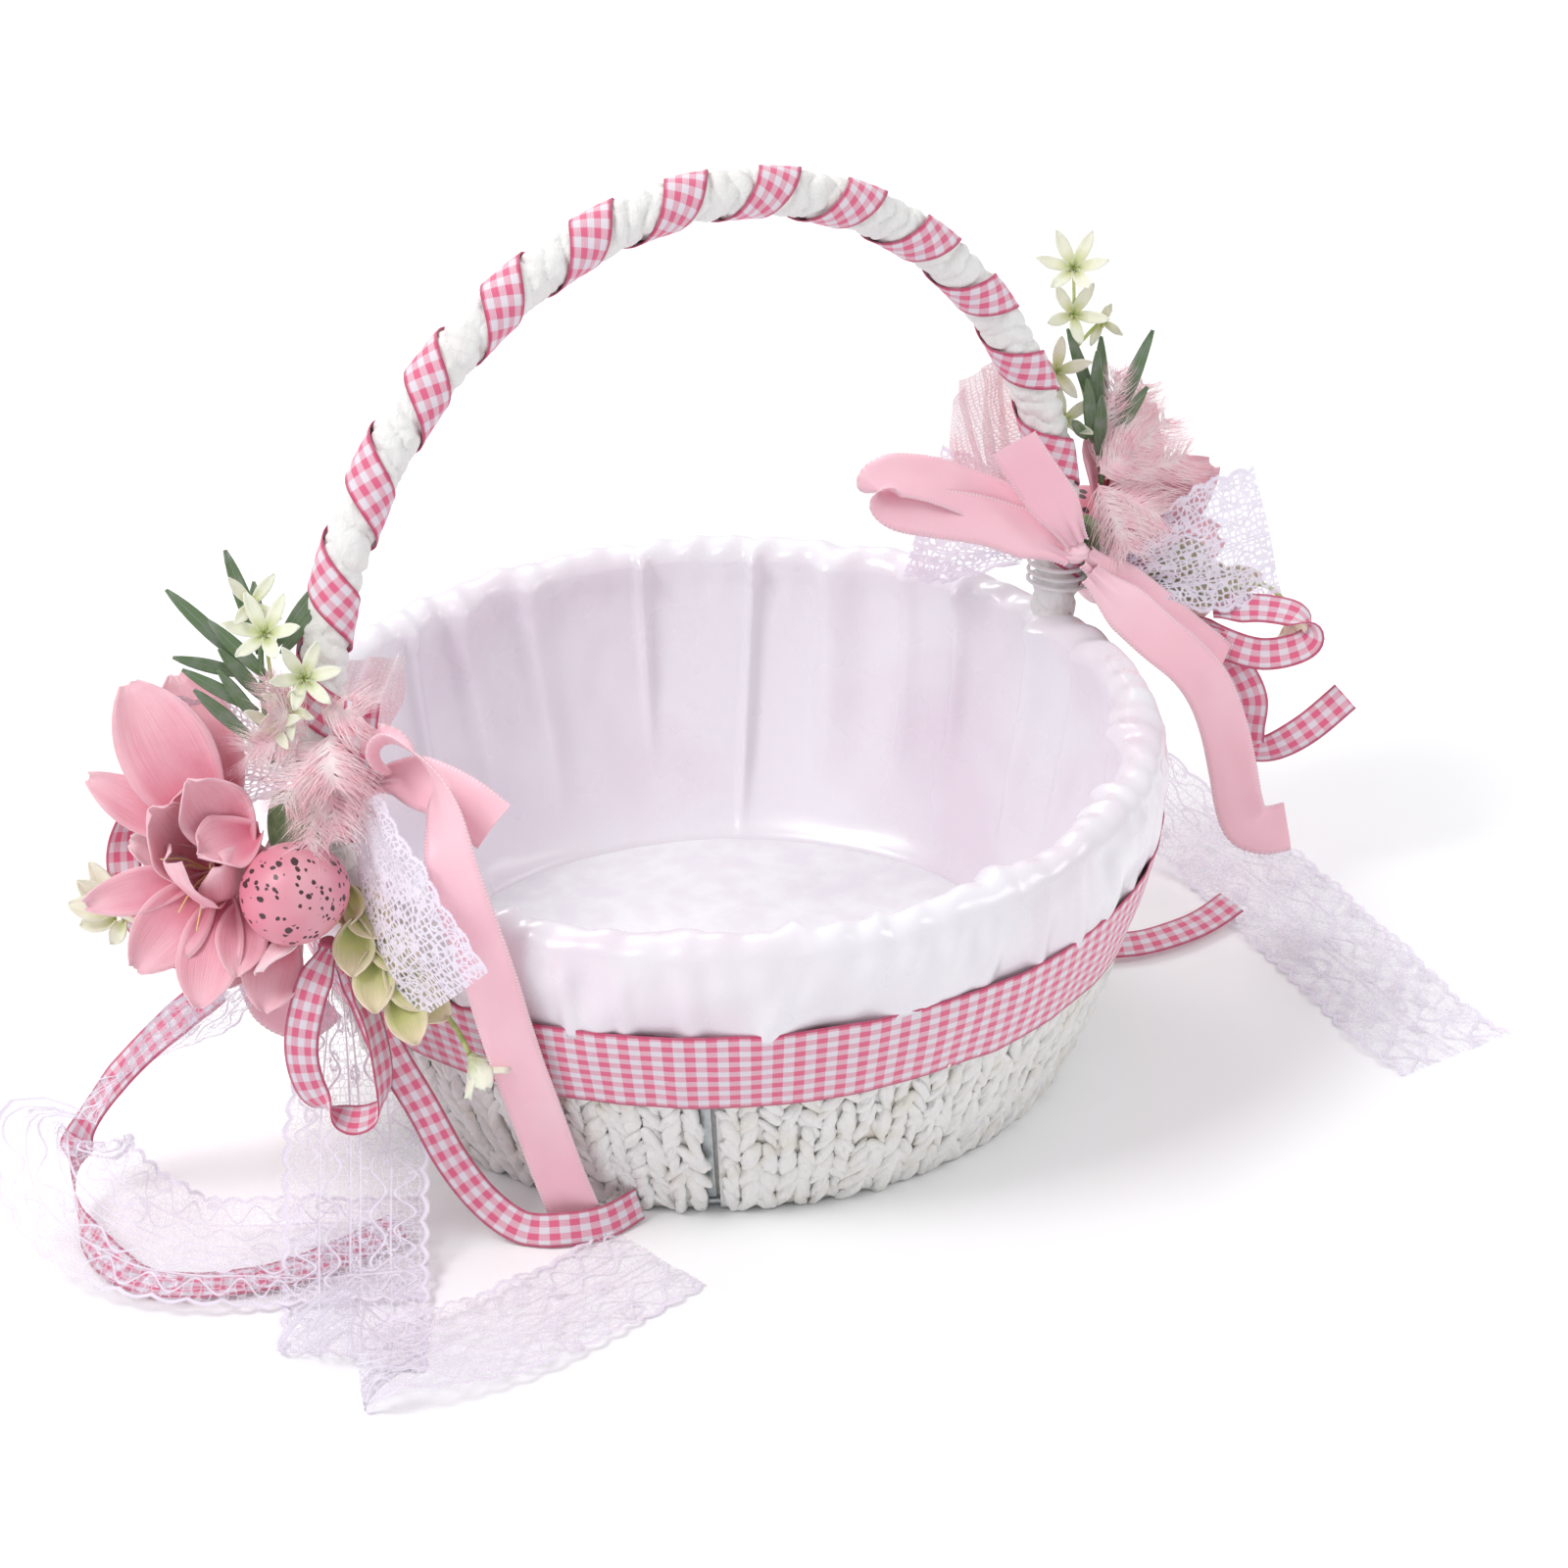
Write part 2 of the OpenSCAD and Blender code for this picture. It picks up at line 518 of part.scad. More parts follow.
left_gingham_curl = [
    [-154, 16, 116, 0, 0.3, 0.9], [-163, 26, 130, 0.3, 0.3, 0.8],
    [-173, 34, 130, 0.6, 0.3, 0.5], [-181, 36, 115, 0.7, 0.1, 0.3],
    [-183, 32, 96, 0.5, -0.5, 0.3], [-179, 25, 82, 0.2, -0.3, 0.8],
    [-169, 16, 80, 0.2, 0.2, 0.9]];
left_gingham_up = [
    [-130, -16, 162, 0.8, -0.5, -0.1], [-133, -16, 148, 0.8, -0.55, -0.1],
    [-137, -15, 134, 0.8, -0.55, -0.1], [-141, -14, 122, 0.8, -0.55, 0]];
right_satin_loop = [
    [125, -12, 132, 0, 0.5, 0.8], [114, -4, 142, 0.1, 0.4, 0.9], [101, 3, 151, 0.2, 0.4, 0.8],
    [88, 8, 158, 0.3, 0.5, 0.6], [77, 12, 161, 0.3, 0.6, 0.5], [71, 12, 158, 0.2, 0.7, 0.5],
    [75, 8, 153, 0.3, 0.5, 0.7], [86, 4, 149, 0.3, 0.4, 0.8],
    [101, -2, 144, 0.2, 0.4, 0.8], [114, -8, 137, 0.1, 0.4, 0.8],
    [124, -15, 130, 0, 0.5, 0.8]];
right_satin_up = [
    [126, -16, 134, 0.8, -0.4, 0.4], [121, -14, 145, 0.7, -0.4, 0.5],
    [115, -10, 157, 0.7, -0.5, 0.3], [109, -6, 169, 0.7, -0.5, 0.3]];
right_satin_short = [
    [129, -17, 129, 0.4, 0.3, 0.8], [136, -20, 121, 0.5, 0.3, 0.8],
    [147, -25, 110, 0.5, 0.3, 0.7], [158, -30, 98, 0.5, 0.3, 0.7],
    [169, -34, 86, 0.5, 0.3, 0.7]];
right_satin_long = [
    [128, -20, 125, 0.4, 0.3, 0.8], [134, -26, 116, 0.5, 0.2, 0.8],
    [143, -34, 104, 0.5, 0.1, 0.8], [152, -38, 94, 0.6, 0, 0.7],
    [160, -39, 82, 0.7, -0.2, 0.5], [166, -39, 67, 0.8, -0.3, 0.2],
    [170, -39, 51, 0.8, -0.4, 0.1], [172, -40, 38, 0.8, -0.5, 0.2],
    [175, -41, 30, 0.6, -0.2, 0.7], [181, -43, 27, 0.4, 0.2, 0.8], [188, -45, 27, 0.4, 0.2, 0.8]];
right_gingham_loop = [
    [163, -20, 99, 0.2, 0.2, 0.9], [171, -28, 92, 0.2, 0.2, 0.9], [180, -38, 88, 0.1, 0.5, 0.8],
    [188, -46, 90, 0, 0.8, 0.5], [192, -50, 95, 0, 0.9, 0.3], [191, -44, 100, 0.2, 0.8, 0.4],
    [184, -34, 101, 0.3, 0.7, 0.5], [172, -26, 101, 0.2, 0.5, 0.7]];
right_gingham_tail = [
    [165, -24, 96, 0.4, -0.2, 0.8], [172, -29, 90, 0.6, -0.3, 0.6],
    [177, -33, 81, 0.7, -0.4, 0.4], [180, -36, 71, 0.7, -0.5, 0.2],
    [179, -36, 61, 0.6, -0.6, 0.3], [180, -36, 54, 0.2, -0.7, 0.6], [186, -40, 54, -0.1, -0.6, 0.8],
    [194, -47, 61, 0, -0.6, 0.8], [203, -54, 72, 0.1, -0.5, 0.8]];
right_gingham_floor = [
    [112, -30, 4, 0.1, 0.9, 0.3], [121, -38, 4, 0.1, 0.9, 0.3], [131, -43, 4, 0.1, 0.9, 0.3],
    [145, -45, 4, 0.1, 0.9, 0.3], [157, -44, 4, 0.1, 0.9, 0.3], [168, -42, 5, 0.2, 0.9, 0.3]];
right_lace_fan = [
    [134, -12, 118, 0.1, 0.5, 0.8], [148, -18, 119, 0.2, 0.4, 0.9],
    [163, -22, 120, 0.2, 0.3, 0.9], [178, -24, 121, 0.2, 0.3, 0.9],
    [194, -26, 122, 0.2, 0.3, 0.9]];
right_lace_back = [
    [128, 12, 124, 0.3, 0.4, 0.8], [120, 22, 126, 0.3, 0.3, 0.9],
    [113, 30, 129, 0.3, 0.3, 0.9], [106, 36, 132, 0.3, 0.3, 0.9]];
right_lace_tail = [
    [152, 26, 74, 0.3, 0.8, 0.4], [166, 30, 50, 0.3, 0.8, 0.5], [180, 24, 26, 0.5, 0.7, 0.4],
    [189, 10, 8, 0.8, 0.5, 0.1], [191, -10, 2, 0.95, 0.3, 0], [188, -34, 1, 0.95, 0.25, 0],
    [181, -66, 1, 0.95, 0.25, 0], [174, -100, 1, 0.95, 0.25, 0], [167, -130, 1, 0.95, 0.25, 0],
    [166, -150, 1, 0.85, 0.1, 0]];

module left_satin_bow() color("lightpink") joined() {
    knot(left_knot);
    ribbon(left_satin_long, satin_w);
    ribbon(left_satin_short, satin_w);
    ribbon(left_satin_back, satin_w);
}

module right_satin_bow() color("lightpink") joined() {
    knot(right_knot);
    ribbon(right_satin_loop, satin_w);
    ribbon(right_satin_up, satin_w);
    ribbon(right_satin_short, satin_w);
    ribbon(right_satin_long, satin_w);
}

module left_gingham_bow() color("hotpink") joined() {
    knot(left_tie);
    ribbon(left_gingham_loop, gingham_w);
    ribbon(left_gingham_near, gingham_w);
    ribbon(left_gingham_far, gingham_w);
    ribbon(left_gingham_curl, gingham_w);
    ribbon(left_gingham_up, gingham_w);
}

module right_gingham_bow() color("hotpink") joined() {
    knot(right_tie);
    ribbon(right_gingham_loop, gingham_w);
    ribbon(right_gingham_tail, gingham_w);
    ribbon(right_gingham_floor, gingham_w);
}

module left_lace_bow() color("white") joined() {
    ribbon(left_lace_fold, lace_w);
    ribbon(left_lace_back, lace_w);
}

module right_lace_bow() color("white") joined() {
    ribbon(right_lace_fan, lace_w);
    ribbon(right_lace_back, lace_w);
}

module left_lace_tails() color("white") joined() {
    ribbon(left_lace_far, lace_w);
    ribbon(left_lace_near, lace_w);
}

module right_lace_tails() color("white") ribbon(right_lace_tail, lace_w);

// Where the flowers of each spray sit: a point, a compass angle and an elevation
left_flower = [-158, 0, 124];
right_flower = [158, 4, 126];
left_plumes = [[200, 60, 0, 42], [260, 50, 30, 40], [300, 40, 60, 36], [280, -10, 20, 38],
    [240, 20, 90, 40], [170, 35, 10, 36], [320, 70, 0, 34]];
right_plumes = [[20, 60, 0, 42], [80, 50, 30, 36], [340, 66, 60, 44], [320, 20, 20, 34],
    [60, 20, 90, 36], [350, 35, 10, 36]];

module left_tie_wire() tie_wire(-1);
module left_spray_pad() spray_pad(-1);
module left_magnolia_outer() magnolia_outer(left_flower, 205, 4);
module left_magnolia_inner() magnolia_inner(left_flower, 205, 4);
module left_magnolia_stamens() magnolia_stamens(left_flower, 205, 4);
module left_blossom() blossom([-158, 6, 100], 215, -40);
module left_egg() egg([-162, -24, 116], 250, 10);
module left_rosemary() rosemary([-150, 4, 156], 170, 70);
module left_star_flowers() star_flowers([-146, -4, 156], 230, 76);
module left_hop_sprig() hop_sprig([-146, -22, 112], 300, -52);
module left_hanging_blossom()
    hanging_blossom([[-134, -36, 84], [-130, -46, 78], [-128, -53, 72], [-127, -57, 66]], 250, -60);
module left_bud_sprig()
    bud_sprig([[-165, 18, 90], [-180, 25, 88], [-188, 30, 94], [-193, 32, 100]]);
module left_feathers() feathers([-146, -12, 146], left_plumes);
module left_tulle() tulle([-130, 10, 122], 10, 78, 90);

module right_tie_wire() tie_wire(1);
module right_spray_pad() spray_pad(1);
module right_magnolia_outer() magnolia_outer(right_flower, 20, 12);
module right_magnolia_inner() magnolia_inner(right_flower, 20, 12);
module right_magnolia_stamens() magnolia_stamens(right_flower, 20, 12);
module right_blossom() blossom([156, -6, 100], 10, -40);
module right_egg() egg([162, 26, 112], 70, 10);
module right_rosemary() rosemary([146, 0, 152], 330, 72);
module right_star_flowers() star_flowers([150, 8, 158], 40, 78);
module right_hop_sprig() hop_sprig([150, -8, 112], 340, -20);
module right_hanging_blossom()
    hanging_blossom([[178, -22, 104], [188, -28, 106], [195, -30, 101], [198, -33, 95]], 300, -60);
module right_bud_sprig()
    bud_sprig([[160, 18, 92], [176, 24, 90], [184, 28, 96], [188, 30, 102]]);
module right_feathers() feathers([148, 0, 142], right_plumes);
module right_tulle() tulle([124, 16, 136], 120, 66, 0);

base_weave();
base_board();
floor_pad();
floor_cover();
base_hoop();
rim_hoop();
uprights();
wall_weave_outer();
wall_weave_inner();
rim_border();
satin_liner();
band_ribbon();
handle_core();
handle_wrap();
handle_ribbon();
left_tie_wire();
left_spray_pad();
left_magnolia_outer();
left_magnolia_inner();
left_magnolia_stamens();
left_blossom();
left_egg();
left_rosemary();
left_star_flowers();
left_hop_sprig();
left_hanging_blossom();
left_bud_sprig();
left_feathers();
left_tulle();
left_satin_bow();
left_gingham_bow();
left_lace_bow();
left_lace_tails();
right_tie_wire();
right_spray_pad();
right_magnolia_outer();
right_magnolia_inner();
right_magnolia_stamens();
right_blossom();
right_egg();
right_rosemary();
right_star_flowers();
right_hop_sprig();
right_hanging_blossom();
right_bud_sprig();
right_feathers();
right_tulle();
right_satin_bow();
right_gingham_bow();
right_lace_bow();
right_lace_tails();
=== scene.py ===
import math
import random

import bmesh
import bpy
from mathutils import Matrix, Vector, noise


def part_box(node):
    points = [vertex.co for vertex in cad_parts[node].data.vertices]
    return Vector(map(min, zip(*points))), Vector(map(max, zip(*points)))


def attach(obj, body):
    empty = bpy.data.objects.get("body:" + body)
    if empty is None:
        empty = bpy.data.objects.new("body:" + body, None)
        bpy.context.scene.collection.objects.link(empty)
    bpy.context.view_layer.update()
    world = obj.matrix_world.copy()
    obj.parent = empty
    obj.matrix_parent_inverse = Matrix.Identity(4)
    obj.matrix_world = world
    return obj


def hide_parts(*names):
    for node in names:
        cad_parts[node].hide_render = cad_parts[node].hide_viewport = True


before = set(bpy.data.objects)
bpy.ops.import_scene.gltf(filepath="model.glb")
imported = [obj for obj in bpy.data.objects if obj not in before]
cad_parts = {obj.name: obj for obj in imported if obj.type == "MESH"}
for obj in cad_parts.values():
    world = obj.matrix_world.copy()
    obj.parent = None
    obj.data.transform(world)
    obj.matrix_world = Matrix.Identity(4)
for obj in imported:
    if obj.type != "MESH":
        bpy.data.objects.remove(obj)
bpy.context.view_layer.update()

bl_info = {
    "name": "Flower Girl Basket",
    "version": (1, 0, 0),
    "blender": (4, 5, 0),
    "location": "3D View > Sidebar > Basket",
    "description": "Builds a satin-lined flower girl basket with ribbons, lace and flowers",
    "category": "Add Mesh",
}

MM = 0.001
WALL_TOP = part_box("wall_weave_outer")[1][2]
RIM_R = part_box("wall_weave_outer")[1][0]
FLOOR_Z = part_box("floor_cover")[1][2]
BAND_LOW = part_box("band_ribbon")[0][2]
BAND_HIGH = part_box("band_ribbon")[1][2]

# The shape of the wall and of the handle, in millimetres
BASE_R = 104.0
WALL_BULGE = 5.5
WALL_T = 8.8
RING_R = 128.1           # radius of the rope border and of the handle's legs
BORDER_Z = 100.6
LEG_TOP = 100.2
HANDLE_R = 133.0
HANDLE_Z = LEG_TOP + math.sqrt(HANDLE_R ** 2 - RING_R ** 2)
HANDLE_LEAN = math.radians(4.5)
BARE_UPRIGHT = math.radians(232.5)   # where one upright of the frame shows
WRAP_R = 7.3
WRAP_LOW = 106.8         # height at which the wrapping leaves the satin roll
WRAP_ANGLE = math.asin((HANDLE_Z - WRAP_LOW) / HANDLE_R)
WRAP_LEN = (math.pi + 2 * WRAP_ANGLE) * HANDLE_R
WRAP_TUCK = 7.0          # how far the wrapping dips into the satin roll at each end
WINDING_START = math.radians(155)
CUFF_HEM = 74.0          # height of the lower edge of the satin cuff
LINING_IN = 9.4          # from the outside of the wall in to the satin
WEAVE_LOW = 1.0          # lowest and highest rows of twists
WEAVE_HIGH = 60.0
TWIST_SEGMENTS = 10      # shape of one twist, which is repeated hundreds of times
TWIST_RINGS = 7
BARBS = 330              # on each feather


class BasketSizes(bpy.types.PropertyGroup):
    braid_count: bpy.props.IntProperty(
        name="Braids", description="Number of upright rope braids round the wall", default=66)
    scale_pitch: bpy.props.FloatProperty(
        name="Twist pitch", description="Height from one rope twist to the next",
        default=0.0048, unit="LENGTH")
    pleat_count: bpy.props.IntProperty(
        name="Pleats", description="Number of soft pleats in the satin", default=26)
    gather_count: bpy.props.IntProperty(
        name="Gathers", description="Number of gathers on the satin rim", default=46)
    check: bpy.props.FloatProperty(
        name="Check width", description="Check of the gingham across the ribbon",
        default=0.0019, unit="LENGTH")
    check_long: bpy.props.FloatProperty(
        name="Check length", description="Check of the gingham along the ribbon",
        default=0.003, unit="LENGTH")
    winding_pitch: bpy.props.FloatProperty(
        name="Winding pitch", description="Distance between turns of ribbon on the handle",
        default=0.032, unit="LENGTH")
    winding_w: bpy.props.FloatProperty(
        name="Handle ribbon", description="Width of the ribbon on the handle",
        default=0.012, unit="LENGTH")
    satin_w: bpy.props.FloatProperty(
        name="Satin ribbon", description="Width of the pink satin ribbon",
        default=0.015, unit="LENGTH")
    gingham_w: bpy.props.FloatProperty(
        name="Gingham ribbon", description="Width of the narrow gingham ribbon",
        default=0.010, unit="LENGTH")
    lace_w: bpy.props.FloatProperty(
        name="Lace", description="Width of the lace", default=0.043, unit="LENGTH")
    egg_d: bpy.props.FloatProperty(
        name="Egg", description="Diameter of the speckled egg", default=0.029, unit="LENGTH")


def colour_property(name, description, default):
    return bpy.props.FloatVectorProperty(
        name=name, description=description, default=default, size=4, subtype="COLOR",
        min=0.0, max=1.0)


class BasketColours(bpy.types.PropertyGroup):
    rope: colour_property("Rope", "Paper rope", (0.84, 0.83, 0.81, 1))
    # cream of the paper rope; on the wall backing it is also painted shade between the braids
    rope_gap: colour_property("Rope gap", "Paper rope in the gaps", (0.74, 0.68, 0.56, 1))
    satin: colour_property("White satin", "Liner", (0.86, 0.83, 0.87, 1))
    # painted shade and reflection: the lilac that is mixed into the white satin
    satin_painted_shade: colour_property("Satin painted shade", "Painted lilac shade and reflection", (0.82, 0.73, 0.80, 1))
    gingham: colour_property("Gingham", "Coloured check", (0.76, 0.13, 0.25, 1))
    gingham_edge: colour_property("Gingham edge", "Selvedge line", (0.56, 0.06, 0.15, 1))
    ribbon: colour_property("Pink satin", "Satin ribbon", (0.98, 0.53, 0.62, 1))
    lace: colour_property("Lace", "Lace thread", (0.80, 0.74, 0.84, 1))
    tulle: colour_property("Tulle", "Pink net", (0.94, 0.62, 0.67, 1))
    petal: colour_property("Petal", "Magnolia petal", (0.80, 0.35, 0.43, 1))
    petal_throat: colour_property("Throat", "Petal at the throat", (0.66, 0.13, 0.22, 1))
    petal_rim: colour_property("Petal rim", "Petal towards the tip", (0.90, 0.56, 0.62, 1))
    egg: colour_property("Egg", "Egg", (0.72, 0.22, 0.30, 1))
    speckle: colour_property("Speckle", "Speckles on the egg", (0.035, 0.012, 0.015, 1))
    leaf: colour_property("Leaf", "Rosemary leaf", (0.12, 0.19, 0.09, 1))
    cream: colour_property("Cream flower", "Star flowers", (0.88, 0.88, 0.70, 1))
    hop: colour_property("Hop", "Hop scales", (0.17, 0.21, 0.03, 1))
    feather: colour_property("Feather", "Feather", (0.95, 0.62, 0.68, 1))


def sizes():
    """The sizes that the user set, or their defaults."""
    return bpy.context.scene.basket_sizes


def colour(name):
    """One of the colours that the user set."""
    return tuple(getattr(bpy.context.scene.basket_colours, name))


# ---------------------------------------------------------------- shader nodes
class Finish:
    """A material under construction, with short calls for the nodes that it needs."""

    def __init__(self, name, roughness=0.6, **sockets):
        self.material = bpy.data.materials.new(name)
        self.material.use_nodes = True
        self.tree = self.material.node_tree
        self.shader = self.tree.nodes["Principled BSDF"]
        self.shader.inputs["Roughness"].default_value = roughness
        for socket, value in sockets.items():
            self.shader.inputs[socket.replace("_", " ")].default_value = value

    def put(self, node, socket, value):
        """Links a socket, or sets it to a number or colour."""
        if isinstance(value, bpy.types.NodeSocket):
            self.tree.links.new(value, node.inputs[socket])
        elif value is not None:
            node.inputs[socket].default_value = value

    def node(self, kind, **settings):
        node = self.tree.nodes.new("ShaderNode" + kind)
        for key, value in settings.items():
            setattr(node, key, value)
        return node

    def math(self, operation, a, b=None):
        node = self.node("Math", operation=operation)
        for index, value in enumerate((a, b)):
            self.put(node, index, value)
        return node.outputs[0]

    def place(self, source="Object", scale=(1, 1, 1)):
        """Coordinates on the piece, in metres, stretched by scale."""
        mapping = self.node("Mapping")
        coordinates = self.node("TexCoord")
        self.tree.links.new(coordinates.outputs[source], mapping.inputs["Vector"])
        mapping.inputs["Scale"].default_value = scale
        return mapping.outputs[0]

    def axis(self, vector, index):
        node = self.node("SeparateXYZ")
        self.tree.links.new(vector, node.inputs[0])
        return node.outputs[index]

    def grain(self, vector, scale, detail=3.0, distortion=0.0):
        node = self.node("TexNoise")
        self.tree.links.new(vector, node.inputs["Vector"])
        node.inputs["Scale"].default_value = scale
        node.inputs["Detail"].default_value = detail
        node.inputs["Distortion"].default_value = distortion
        return node.outputs[0]

    def cells(self, vector, scale, feature="F1", randomness=1.0):
        node = self.node("TexVoronoi", feature=feature)
        self.tree.links.new(vector, node.inputs["Vector"])
        node.inputs["Scale"].default_value = scale
        node.inputs["Randomness"].default_value = randomness
        return node.outputs["Distance"]

    def span(self, value, low, high, to_low=0.0, to_high=1.0):
        """Takes low..high to to_low..to_high and holds it there."""
        node = self.node("MapRange")
        self.put(node, 0, value)
        for index, number in enumerate((low, high, to_low, to_high)):
            node.inputs[index + 1].default_value = number
        return node.outputs[0]

    def blend(self, factor, a, b):
        node = self.node("Mix", data_type="RGBA")
        self.put(node, 0, factor)
        self.put(node, 6, a)
        self.put(node, 7, b)
        return node.outputs[2]

    def paint(self, value):
        self.put(self.shader, "Base Color", value)

    def bump(self, height, strength, distance):
        node = self.node("Bump")
        self.put(node, "Height", height)
        node.inputs["Strength"].default_value = strength
        node.inputs["Distance"].default_value = distance
        self.tree.links.new(node.outputs[0], self.shader.inputs["Normal"])


def rope_finish(name="paper_rope", gap_amount=0.5):
    """Crinkled white paper, cream in patches where the light core shows through; with a large
    gap_amount, as on the wall backing, the cream also serves as painted shade between the braids.
    """
    f = Finish(name, 0.62)
    spot = f.place()
    fibre = f.grain(f.place(scale=(1, 1, 0.35)), 900, 4, 0.6)
    crinkle = f.grain(spot, 260, 3, 0.8)
    patch = f.span(f.grain(spot, 90, 2), 0.52, 0.72, 0, gap_amount)
    f.paint(f.blend(patch, colour("rope"), colour("rope_gap")))
    f.put(f.shader, "Roughness", f.span(crinkle, 0.3, 0.7, 0.45, 0.72))
    f.bump(f.math("ADD", fibre, f.math("MULTIPLY", crinkle, 2.0)), 0.55, 0.0007)
    return f.material


def satin_finish(name, base, painted_shade):
    """Smooth satin with a soft lilac painted shade and reflection that comes and goes, and a fine
    thread.
    """
    f = Finish(name, 0.3, Coat_Weight=0.5, Coat_Roughness=0.16, Sheen_Weight=0.1,
               Specular_IOR_Level=0.75)
    spot = f.place()
    cloud = f.grain(spot, 18, 2, 0.5)
    # painted shade and reflection: lilac mixed into the satin where the cloud is high
    f.paint(f.blend(f.span(cloud, 0.42, 0.68), base, painted_shade))
    f.put(f.shader, "Roughness", f.span(f.grain(spot, 45, 2), 0.3, 0.7, 0.24, 0.36))
    thread = f.grain(f.place(scale=(1, 1, 0.2)), 2600, 2)
    f.bump(f.math("ADD", thread, f.math("MULTIPLY", f.grain(spot, 160, 2), 1.2)), 0.12, 0.0004)
    return f.material


def gingham_finish(width):
    """Checks woven from a coloured and a white thread; the UV map is in metres."""
    f = Finish("gingham_%d" % round(width / MM), 0.62, Sheen_Weight=0.2)
    uv = f.place("UV")
    across, along = f.axis(uv, 0), f.axis(uv, 1)
    bands = []
    for value, pitch in ((across, 2 * sizes().check), (along, 2 * sizes().check_long)):
        wave = f.math("COSINE", f.math("MULTIPLY", value, 2 * math.pi / pitch))
        bands.append(f.span(wave, -0.12, 0.12, 1, 0))
    thread = [f.span(f.math("SINE", f.math("MULTIPLY", value, 2 * math.pi / 0.00042)),
                     -0.6, 0.6, 0.32, 0.68) for value in (across, along)]
    weave = f.math("MULTIPLY", f.math("ADD", bands[0], bands[1]), 0.5)
    half = f.math("SUBTRACT", thread[0], 0.5)
    mixed = f.math("MULTIPLY", f.math("ABSOLUTE", f.math("SUBTRACT", bands[0], bands[1])), half)
    amount = f.math("ADD", weave, f.math("MULTIPLY", mixed, 1.2))
    white = (0.78, 0.72, 0.78, 1)
    checks = f.blend(amount, white, colour("gingham"))
    edge = f.span(f.math("ABSOLUTE", across), width / 2 - 0.0010, width / 2 - 0.0006)
    f.paint(f.blend(f.math("MULTIPLY", edge, 0.85), checks, colour("gingham_edge")))
    f.bump(f.math("ADD", thread[0], thread[1]), 0.5, 0.0002)
    return f.material


def pink_satin_finish():
    """Pink satin ribbon with a row of pale picot dots along each edge."""
    f = Finish("satin_pink", 0.3, Coat_Weight=0.2, Coat_Roughness=0.25, Sheen_Weight=0.25)
    uv = f.place("UV")
    across, along = f.axis(uv, 0), f.axis(uv, 1)
    cloud = f.grain(f.place(), 30, 2)
    pink = colour("ribbon")
    pale = tuple(0.6 * c + 0.4 for c in pink[:3]) + (1,)
    edge = f.span(f.math("ABSOLUTE", across), 0.0066, 0.0070)
    dots = f.span(f.math("SINE", f.math("MULTIPLY", along, 2 * math.pi / 0.0011)), -0.2, 0.4)
    f.paint(f.blend(f.math("MULTIPLY", edge, dots), f.blend(f.span(cloud, 0.3, 0.7, 0, 0.45),
                                                          pink, pale), pale))
    thread = f.math("SINE", f.math("MULTIPLY", across, 2 * math.pi / 0.0003))
    rib = f.math("MULTIPLY", f.math("MULTIPLY", edge, dots), 3)
    f.bump(f.math("ADD", thread, rib), 0.25, 0.00015)
    return f.material


def lace_finish(name, width, net_line=0.12, net_alpha=0.5):
    """Net with two vines, ring-shaped outlines, two pairs of lines and a corded edge.

    net_line is the net's thread as a share of its holes, net_alpha how solid it is.
    """
    f = Finish(name, 0.7, Sheen_Weight=0.2)
    uv = f.place("UV")
    across, along = f.axis(uv, 0), f.axis(uv, 1)
    side = f.math("ABSOLUTE", across)
    net = f.span(f.cells(uv, 1 / 0.0021, "DISTANCE_TO_EDGE", 0.5), net_line / 2, net_line,
                 net_alpha, 0.08)
    strands = [net]
    for place, reach, length in ((0.15, 0.05, 0.014), (0.33, 0.07, 0.011)):
        swing = f.math("MULTIPLY", f.math("SINE", f.math(
            "MULTIPLY", along, 2 * math.pi / length)), reach * width)
        vine = f.math("ABSOLUTE", f.math("SUBTRACT", f.math("SUBTRACT", side, place * width),
                                         swing))
        strands.append(f.span(vine, 0.0002, 0.0008, 0.95, 0))
    leaves = f.cells(f.place("UV", scale=(1.0, 0.6, 1)), 1 / 0.0070, "F1", 0.55)
    fill = f.span(f.grain(uv, 1500, 2), 0.42, 0.5, 0.25, 0.95)
    strands.append(f.math("MULTIPLY", f.span(f.math("ABSOLUTE", f.math(
        "SUBTRACT", leaves, 0.30)), 0.03, 0.07, 1, 0), fill))
    for place in (0.0014, 0.2372 * width):
        line = f.math("ABSOLUTE", f.math("SUBTRACT", side, place))
        strands.append(f.span(line, 0.0002, 0.0005, 0.9, 0))
    scallop = f.math("MULTIPLY", f.math("ABSOLUTE", f.math("SINE", f.math(
        "MULTIPLY", along, math.pi / 0.0075))), 0.0016)
    edge = f.math("ABSOLUTE", f.math("SUBTRACT", side,
                                     f.math("ADD", scallop, width / 2 - 0.0026)))
    strands.append(f.span(edge, 0.0004, 0.0010, 0.95, 0))
    total = strands[0]
    for strand in strands[1:]:
        total = f.math("MAXIMUM", total, strand)
    trimmed = f.span(f.math("SUBTRACT", side, f.math("ADD", scallop, width / 2 - 0.0016)),
                     0, 0.0003, 1, 0)
    f.put(f.shader, "Alpha", f.math("MULTIPLY", total, trimmed))
    white = tuple(min(1, c * 1.1) for c in colour("lace")[:3]) + (1,)
    f.paint(f.blend(f.span(f.grain(uv, 300, 2), 0.35, 0.65), colour("lace"), white))
    f.bump(total, 0.6, 0.0003)
    return f.material


